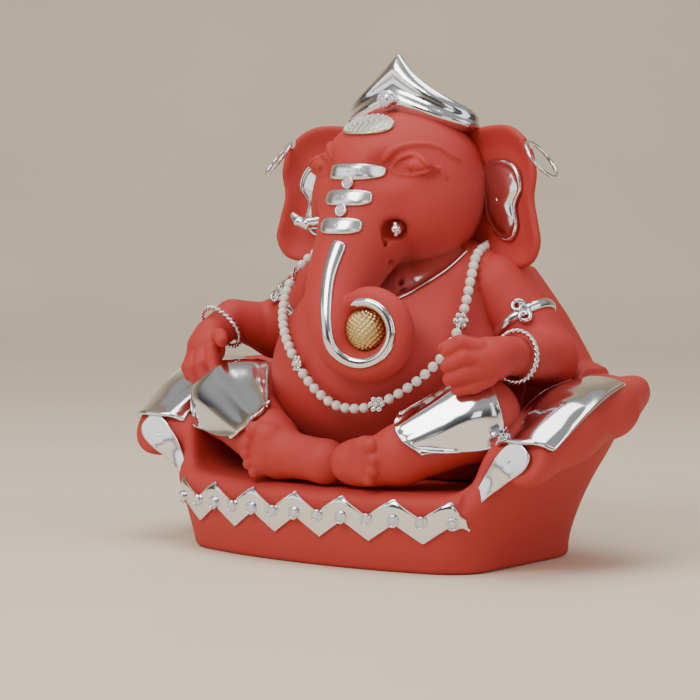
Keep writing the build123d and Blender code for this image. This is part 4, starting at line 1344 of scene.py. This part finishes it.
def build_bars(head):
    """Three gently domed bars across the face, with a stone set between each pair."""
    turn = np.linspace(0, 2 * pi, 96, endpoint=False)[:, None]
    share = np.linspace(1, 0.02, 13)[None, :]
    wide, tall = (np.sign(wave) * np.abs(wave) ** 0.58 for wave in (np.cos(turn), np.sin(turn)))
    for name, (height, half) in BARS.items():
        seats = front_height(head, 1.2 + half * share * wide, height + 2.05 * share * tall)
        facing = head.facing(seats).reshape(seats.shape)
        grid = seats + facing * (0.45 + 0.55 * (1 - share ** 4))[..., None]
        piece = sheet_piece(f"{name.title()}_Face_Bar", grid, PLATE, get("satin_silver"),
                            closed_u=True)
        settle(piece, "root", "silver_plate", f"{name}_face_bar")
    settings, stones = [], []
    for height in (94.1, 87.1):
        seat = front_height(head, np.array(1.2), np.array(height)).reshape(3)
        facing = head.facing(seat)[0]
        axes = frame_at(facing)
        settings.append(bezel(seat + facing * 0.55, axes, 1.3, lift=0.45))
        stones.append(brilliant(seat + facing * 0.6, axes, 1.2, 0.75))
    piece = joined("Face_Bezels", settings, get("silver_plate"))
    settle(piece, "root", "silver_plate", "face_bezels")
    piece = joined("Face_Stones", stones, get("rhinestone"), smooth=False)
    settle(piece, "root", "rhinestone", "face_stones")


def build_stripe(head):
    """The plated stripe down the front of the trunk and round the face of its curl."""
    ahead = np.array((sin(CURL_TURN), -cos(CURL_TURN), 0.0))
    path, ways, halves = [], [], []
    for x, y, z, _ in smooth_line(TRUNK_TOP[2:], 26)[2:-3]:
        turn = radians(17)
        path.append(np.array((x, y, z)))
        ways.append(unit((sin(turn), -cos(turn), 0.25)))
        halves.append(2.05 - 0.5 * (78 - z) / 14)
    for angle, reach, _ in smooth_line(TRUNK_CURL, 90)[4:-2]:
        path.append(curl_spot(angle, reach - 0.75))
        ways.append(ahead)
        halves.append(1.45 - 0.4 * (angle - 182) / 300)
    path, ways, halves = np.array(path), np.array(ways), np.array(halves)
    even_out(ways, 8)
    even_out(path, 8)
    ways /= np.linalg.norm(ways, axis=1, keepdims=True)
    seats = head.drop(path + ways * 9.5, -ways, 0.0)
    even_out(seats, 6)
    run = np.gradient(seats, axis=0)
    run /= np.linalg.norm(run, axis=1, keepdims=True)
    side = np.cross(run, ways)
    side /= np.linalg.norm(side, axis=1, keepdims=True)
    up = np.cross(side, run)
    up *= np.sign(np.sum(up * ways, axis=1, keepdims=True))
    rings = []
    for step in range(len(seats)):
        share = step / (len(seats) - 1)
        ends = min(1.0, 0.86 + 12 * share, 0.35 + 14 * (1 - share))
        half = halves[step] * ends
        ring = []
        for turn in np.linspace(0, 2 * pi, 16, endpoint=False):
            lift = 0.15 + 0.85 * max(sin(turn), -0.9)
            ring.append(seats[step] + side[step] * half * cos(turn) + up[step] * lift)
        rings.append(ring)
    piece = make_piece("Trunk_Stripe", *tube_parts(rings), get("silver_plate"))
    settle(piece, "root", "silver_plate", "trunk_stripe")


def build_collar(torso):
    """The plated crescent over the chest and shoulders, with a rolled rim."""
    columns, rows = 110, 18
    angle = np.linspace(radians(-78), radians(78), columns)[None, :]
    share = np.linspace(0, 1, rows)[:, None]
    inner_x, inner_z = 16.2 * np.sin(angle), 81.0 - 9.0 * np.cos(angle)
    outer_x, outer_z = 21.8 * np.sin(angle), 80.4 - 18.6 * np.cos(angle)
    grid = front_height(torso, inner_x + (outer_x - inner_x) * share,
                        inner_z + (outer_z - inner_z) * share, y=-41)
    facing = torso.facing(grid).reshape(grid.shape)
    rim = 0.35 * np.exp(-((1 - share) / 0.10) ** 2) + 0.25 * np.exp(-(share / 0.10) ** 2)
    grid = grid + facing * (1.0 + rim)[..., None]
    even_out(grid.swapaxes(0, 1), 8)
    normal = np.cross(grid[1, 50] - grid[0, 50], grid[0, 51] - grid[0, 50])
    if normal[1] > 0:
        grid = grid[::-1]
    piece = sheet_piece("Collar", grid, PLATE, get("silver_plate"))
    settle(piece, "root", "silver_plate", "collar")


# ---- Pearl strand ----------------------------------------------------------

STRAND_ROUTE = [
    (-1, 14.6, 83), (8.5, 13.2, 82.2), (17.2, 7, 80.6), (22.5, -2.4, 78.3),
    (24.3, -10.8, 76.8), (27.2, -17.2, 70), (28.8, -22.3, 62), (29.4, -27.8, 54.5),
    (26.6, -33.6, 48), (20.5, -38, 42.3), (12.5, -40.4, 38.4), (3.2, -41, 38.2),
    (-5, -40.6, 43), (-12.5, -38.9, 50), (-20, -34, 57.2), (-25.8, -26.5, 64),
    (-27.3, -19.5, 71.5), (-25, -11, 77.2), (-21.8, -2.4, 78.4), (-16.8, 6.8, 80.7),
    (-9.8, 12.6, 82.2), (-3, 14.6, 82.9),
]
CHARM_PLACES = (0.30, 0.455, 0.60, 0.765)
PEARL_RADIUS = 1.3
THREAD_DIAMETER = 0.5


def thread_line(curve):
    """Points read off the thread's own spline, in millimetres."""
    plain = curve.data.copy()
    plain.bevel_depth = 0.0
    ghost = bpy.data.objects.new("thread_reader", plain)
    bpy.context.scene.collection.objects.link(ghost)
    bpy.context.view_layer.update()
    reader = ghost.evaluated_get(bpy.context.evaluated_depsgraph_get())
    mesh = bpy.data.meshes.new_from_object(reader)
    points = np.array([vertex.co[:] for vertex in mesh.vertices]) / MM
    bpy.data.objects.remove(ghost)
    bpy.data.meshes.remove(mesh)
    bpy.data.curves.remove(plain)
    return points


def strand_places(length, charms_at):
    """Places of the pearls along the thread: evenly filled runs between the charms."""
    stops = [0.6]
    for charm in charms_at:
        stops += [charm - 2.25, charm + 2.25]
    stops.append(length - 0.6)
    places = []
    for start, end in zip(stops[::2], stops[1::2]):
        count = int((end - start) / (2 * PEARL_RADIUS))
        pitch = (end - start) / count
        places += [start + pitch * (step + 0.5) for step in range(count)]
    return places


def build_strand():
    """The thread, its pearls and four flower charms, and the knot at the nape."""
    sculpt = bpy.context.scene.idol_sculpt
    data = bpy.data.curves.new("Strand_Thread", "CURVE")
    data.dimensions = "3D"
    data.resolution_u = 16
    data.bevel_depth = THREAD_DIAMETER / 2 * MM
    data.bevel_resolution = 3
    data.use_fill_caps = True
    spline = data.splines.new("NURBS")
    spline.points.add(len(STRAND_ROUTE) - 1)
    for point, place in zip(spline.points, STRAND_ROUTE):
        point.co = (*(part * MM for part in place), 1)
    spline.order_u = 3
    spline.use_endpoint_u = True
    data.materials.append(get("thread"))
    thread = bpy.data.objects.new("Strand_Thread", data)
    bpy.context.scene.collection.objects.link(thread)
    bpy.context.view_layer.update()
    line = thread_line(thread)
    steps = np.linalg.norm(np.diff(line, axis=0), axis=1)
    run = np.concatenate([[0], np.cumsum(steps)])
    length = run[-1]
    settle(thread, "root", "thread", "strand_thread")
    charms_at = [share * length for share in CHARM_PLACES]
    spots = strand_places(length, charms_at)
    ball_points, ball_faces = sphere_mesh(18, sculpt.pearl_rings)
    parts = []
    for spot in spots:
        centre = np.array([np.interp(spot, run, line[:, i]) for i in range(3)])
        parts.append((centre + ball_points * PEARL_RADIUS * 0.98, ball_faces))
    pearls = joined("Pearls", parts, get("pearl"))
    settle(pearls, "root", "pearl", "pearls")
    petals, hearts = [], []
    for spot in charms_at:
        centre = np.array([np.interp(spot, run, line[:, i]) for i in range(3)])
        out = unit(centre - np.array((0, -8, centre[2] - 1.5)))
        axes = frame_at(out)
        for petal in range(6):
            angle = 2 * pi * petal / 6
            middle = centre + 1.45 * (axes[0] * cos(angle) + axes[1] * sin(angle)) + out * 0.1
            squashed = ball_points * 0.82
            flat = squashed - np.outer(squashed @ out, out) * 0.45
            petals.append((middle + flat, ball_faces))
        petals.append((centre + ball_points * 0.95, ball_faces))
        hearts.append(brilliant(centre + out * 0.78, axes, 0.72, 0.45))
    charms = joined("Charms", petals, get("silver_plate"))
    settle(charms, "root", "silver_plate", "charms")
    stones = joined("Charm_Stones", hearts, get("rhinestone"), smooth=False)
    settle(stones, "root", "rhinestone", "charms")
    low, high = (np.array(corner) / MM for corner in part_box("strand_knot"))
    clay = Clay(low - 1, high + 1, 0.12)
    middle, half = (low + high) / 2, (high - low) / 2
    clay.add_egg(middle, half * 0.92, 0)
    clay.groove([middle + half * (-0.9, 0, 0.5), middle + half * (0, 1, 0.1),
                 middle + half * (0.9, 0, -0.5)], 0.12, 0.1)
    knot = clay.mesh("Strand_Knot", get("thread"))
    settle(knot, "root", "thread", "strand_knot")


# ---- Stage -----------------------------------------------------------------


def build_world():
    """Light from all round: bright above, darker at eye level, warm below."""
    world = bpy.data.worlds.new("Studio")
    world.use_nodes = True
    nodes, links = world.node_tree.nodes, world.node_tree.links
    place = nodes.new("ShaderNodeTexCoord")
    split = nodes.new("ShaderNodeSeparateXYZ")
    links.new(place.outputs["Generated"], split.inputs["Vector"])
    ramp = nodes.new("ShaderNodeValToRGB")
    spread = nodes.new("ShaderNodeMapRange")
    spread.inputs["From Min"].default_value = -1.0
    links.new(split.outputs["Z"], spread.inputs["Value"])
    links.new(spread.outputs["Result"], ramp.inputs["Fac"])
    stops = ((0.0, (0.42, 0.34, 0.26)), (0.47, (0.50, 0.42, 0.34)), (0.53, (0.10, 0.09, 0.09)),
             (0.66, (0.30, 0.30, 0.31)), (0.82, (1.0, 1.0, 1.0)), (1.0, (0.75, 0.76, 0.78)))
    while len(ramp.color_ramp.elements) < len(stops):
        ramp.color_ramp.elements.new(0.5)
    for element, (position, colour) in zip(ramp.color_ramp.elements, stops):
        element.position = position
        element.color = (*colour, 1)
    links.new(ramp.outputs["Color"], nodes["Background"].inputs["Color"])
    nodes["Background"].inputs["Strength"].default_value = 0.42
    bpy.context.scene.world = world


def add_light(name, place, target, size, power, colour):
    """A soft area light that faces a target."""
    data = bpy.data.lights.new(name, "AREA")
    data.shape = "RECTANGLE"
    data.size, data.size_y = size
    data.energy = power
    data.color = colour
    light = bpy.data.objects.new(name, data)
    light.location = place
    light.rotation_euler = (Vector(target) - Vector(place)).to_track_quat("-Z", "Y").to_euler()
    bpy.context.scene.collection.objects.link(light)


FLOOR_LINE = [(-1.2, 0), (-0.3, 0), (0.5, 0), (0.75, 0.06), (0.85, 0.3), (0.86, 1.2)]
CAMERA_DIP = radians(4.051)
CAMERA_TURN = radians(1.552)


def build_stage():
    """Floor, studio lights, world and camera."""
    stage = bpy.context.scene.idol_stage
    sweep = []
    for y, z in smooth_line(FLOOR_LINE, 60):
        sweep.append([(-2.0, y, max(z, 0.0)), (2.0, y, max(z, 0.0))])
    turn = Matrix.Rotation(radians(stage.azimuth), 4, "Z")
    points = [turn @ Vector(point) for pair in sweep for point in pair]
    points = [(p[0] / MM, p[1] / MM, p[2] / MM - 0.02) for p in points]
    faces = [(2 * i, 2 * i + 1, 2 * i + 3, 2 * i + 2) for i in range(len(sweep) - 1)]
    floor = make_piece("Floor", points, faces, get("pale_floor"))
    target = (0, -0.01, 0.06)

    def around(azimuth, distance, height):
        angle = radians(stage.azimuth + azimuth)
        return (sin(angle) * distance, -cos(angle) * distance, height)

    power = stage.light_power
    add_light("Key", around(-42, 0.62, 0.62), target, (0.40, 0.40), power, (1, 0.98, 0.95))
    add_light("Fill", around(55, 0.7, 0.34), target, (0.45, 0.6), power * 0.36, (0.95, 0.97, 1))
    add_light("Top", (0, 0.02, 0.75), target, (0.5, 0.5), power * 0.8, (1, 1, 1))
    add_light("Front", around(2, 0.95, 0.25), target, (0.3, 0.3), power * 0.15, (1, 1, 1))
    add_light("Card", around(-73, 0.85, 0.24), target, (0.7, 0.4), power * 0.3, (1, 1, 1))
    build_world()
    data = bpy.data.cameras.new("Camera")
    data.lens = stage.lens
    data.sensor_width = 36
    data.dof.use_dof = False
    data.clip_start, data.clip_end = 0.01, 20
    camera = bpy.data.objects.new("Camera", data)
    bearing = radians(stage.azimuth)
    camera.location = (sin(bearing) * stage.distance, -cos(bearing) * stage.distance,
                       stage.height)
    camera.rotation_euler = (radians(90) - CAMERA_DIP, 0, bearing + CAMERA_TURN)
    bpy.context.scene.collection.objects.link(camera)
    bpy.context.scene.camera = camera


# ---- Operators, panel and registration -------------------------------------


class IDOL_OT_finishes(bpy.types.Operator):
    """Make the resin, plating, stone, pearl and thread finishes"""
    bl_idname = "idol.finishes"
    bl_label = "Make Finishes"

    def execute(self, context):
        finish = context.scene.idol_finish
        grain, wear = grain_group(), plating_group()
        resin_material(finish, grain)
        least = finish.silver_roughness * 0.7
        plated_material("silver_plate", finish.silver_colour, wear, least, least * 2.4)
        plated_material("satin_silver", finish.silver_colour, wear, 0.22, 0.34)
        plated_material("pale_gold", finish.pale_gold, wear, least, least * 2.2)
        plated_material("gold_ball", finish.gold_colour, wear, 0.22, 0.34)
        stone_material()
        pearl_material(finish)
        thread_material()
        floor_material()
        return {"FINISHED"}


class IDOL_OT_sofa(bpy.types.Operator):
    """Sculpt the sofa, its zigzag band with stones, and its arm plates"""
    bl_idname = "idol.sofa"
    bl_label = "Sofa and Band"

    def execute(self, context):
        build_sofa()
        return {"FINISHED"}


class IDOL_OT_torso(bpy.types.Operator):
    """Sculpt the torso and lay the collar on it"""
    bl_idname = "idol.torso"
    bl_label = "Torso and Collar"

    def execute(self, context):
        build_collar(build_torso())
        return {"FINISHED"}


class IDOL_OT_head(bpy.types.Operator):
    """Sculpt the head and trunk with the brow plate, bars, stones and stripe"""
    bl_idname = "idol.head"
    bl_label = "Head and Face Trim"

    def execute(self, context):
        head = build_head()
        build_ball()
        build_brow(head)
        build_bars(head)
        build_stripe(head)
        for side in SIDES:
            build_tusk(side)
        return {"FINISHED"}


class IDOL_OT_crown(bpy.types.Operator):
    """Build the chevron crown and its stone-set drop"""
    bl_idname = "idol.crown"
    bl_label = "Crown"

    def execute(self, context):
        build_crown()
        return {"FINISHED"}


class IDOL_OT_ears(bpy.types.Operator):
    """Sculpt both ears with their plates and hoops"""
    bl_idname = "idol.ears"
    bl_label = "Ears and Earrings"

    def execute(self, context):
        for side in SIDES:
            build_ear(side)
            build_earring(side)
        return {"FINISHED"}


class IDOL_OT_legs(bpy.types.Operator):
    """Sculpt both legs and their shin covers"""
    bl_idname = "idol.legs"
    bl_label = "Legs and Shin Covers"

    def execute(self, context):
        for side in SIDES:
            build_leg(side)
        return {"FINISHED"}


class IDOL_OT_arms(bpy.types.Operator):
    """Sculpt both arms with their hands, armbands and bangles"""
    bl_idname = "idol.arms"
    bl_label = "Arms, Armbands and Bangles"

    def execute(self, context):
        for side in SIDES:
            build_arm(side)
            build_bangle(side)
        return {"FINISHED"}


class IDOL_OT_strand(bpy.types.Operator):
    """Hang the pearl strand with its charms"""
    bl_idname = "idol.strand"
    bl_label = "Pearl Strand"

    def execute(self, context):
        build_strand()
        return {"FINISHED"}


class IDOL_OT_stage(bpy.types.Operator):
    """Set the floor, lights, world and camera"""
    bl_idname = "idol.stage"
    bl_label = "Stage"

    def execute(self, context):
        build_stage()
        return {"FINISHED"}


class IDOL_PT_panel(bpy.types.Panel):
    """Sidebar panel of the idol's settings and building steps"""
    bl_idname = "IDOL_PT_panel"
    bl_label = "Seated Idol"
    bl_space_type = "VIEW_3D"
    bl_region_type = "UI"
    bl_category = "Idol"

    def draw(self, context):
        scene = context.scene
        for title, settings in (("Finish", scene.idol_finish), ("Sculpt", scene.idol_sculpt),
                                ("Stage", scene.idol_stage)):
            box = self.layout.box()
            box.label(text=title)
            for name in settings.__annotations__:
                box.prop(settings, name)
        column = self.layout.column(align=True)
        for operator in OPERATORS:
            column.operator(operator.bl_idname)


SETTINGS = (FinishSettings, SculptSettings, StageSettings)
OPERATORS = (IDOL_OT_finishes, IDOL_OT_stage, IDOL_OT_strand, IDOL_OT_sofa, IDOL_OT_torso,
             IDOL_OT_head, IDOL_OT_crown, IDOL_OT_ears, IDOL_OT_legs, IDOL_OT_arms)


def register():
    """Adds the settings, operators and panel to Blender."""
    for entry in (*SETTINGS, *OPERATORS, IDOL_PT_panel):
        bpy.utils.register_class(entry)
    bpy.types.Scene.idol_finish = PointerProperty(type=FinishSettings)
    bpy.types.Scene.idol_sculpt = PointerProperty(type=SculptSettings)
    bpy.types.Scene.idol_stage = PointerProperty(type=StageSettings)


def unregister():
    """Takes them out again."""
    del bpy.types.Scene.idol_finish
    del bpy.types.Scene.idol_sculpt
    del bpy.types.Scene.idol_stage
    for entry in reversed((*SETTINGS, *OPERATORS, IDOL_PT_panel)):
        bpy.utils.unregister_class(entry)


def main():
    """Builds every piece in order."""
    register()
    for operator in OPERATORS:
        group, name = operator.bl_idname.split(".")
        getattr(getattr(bpy.ops, group), name)()


if __name__ == "__main__":
    main()
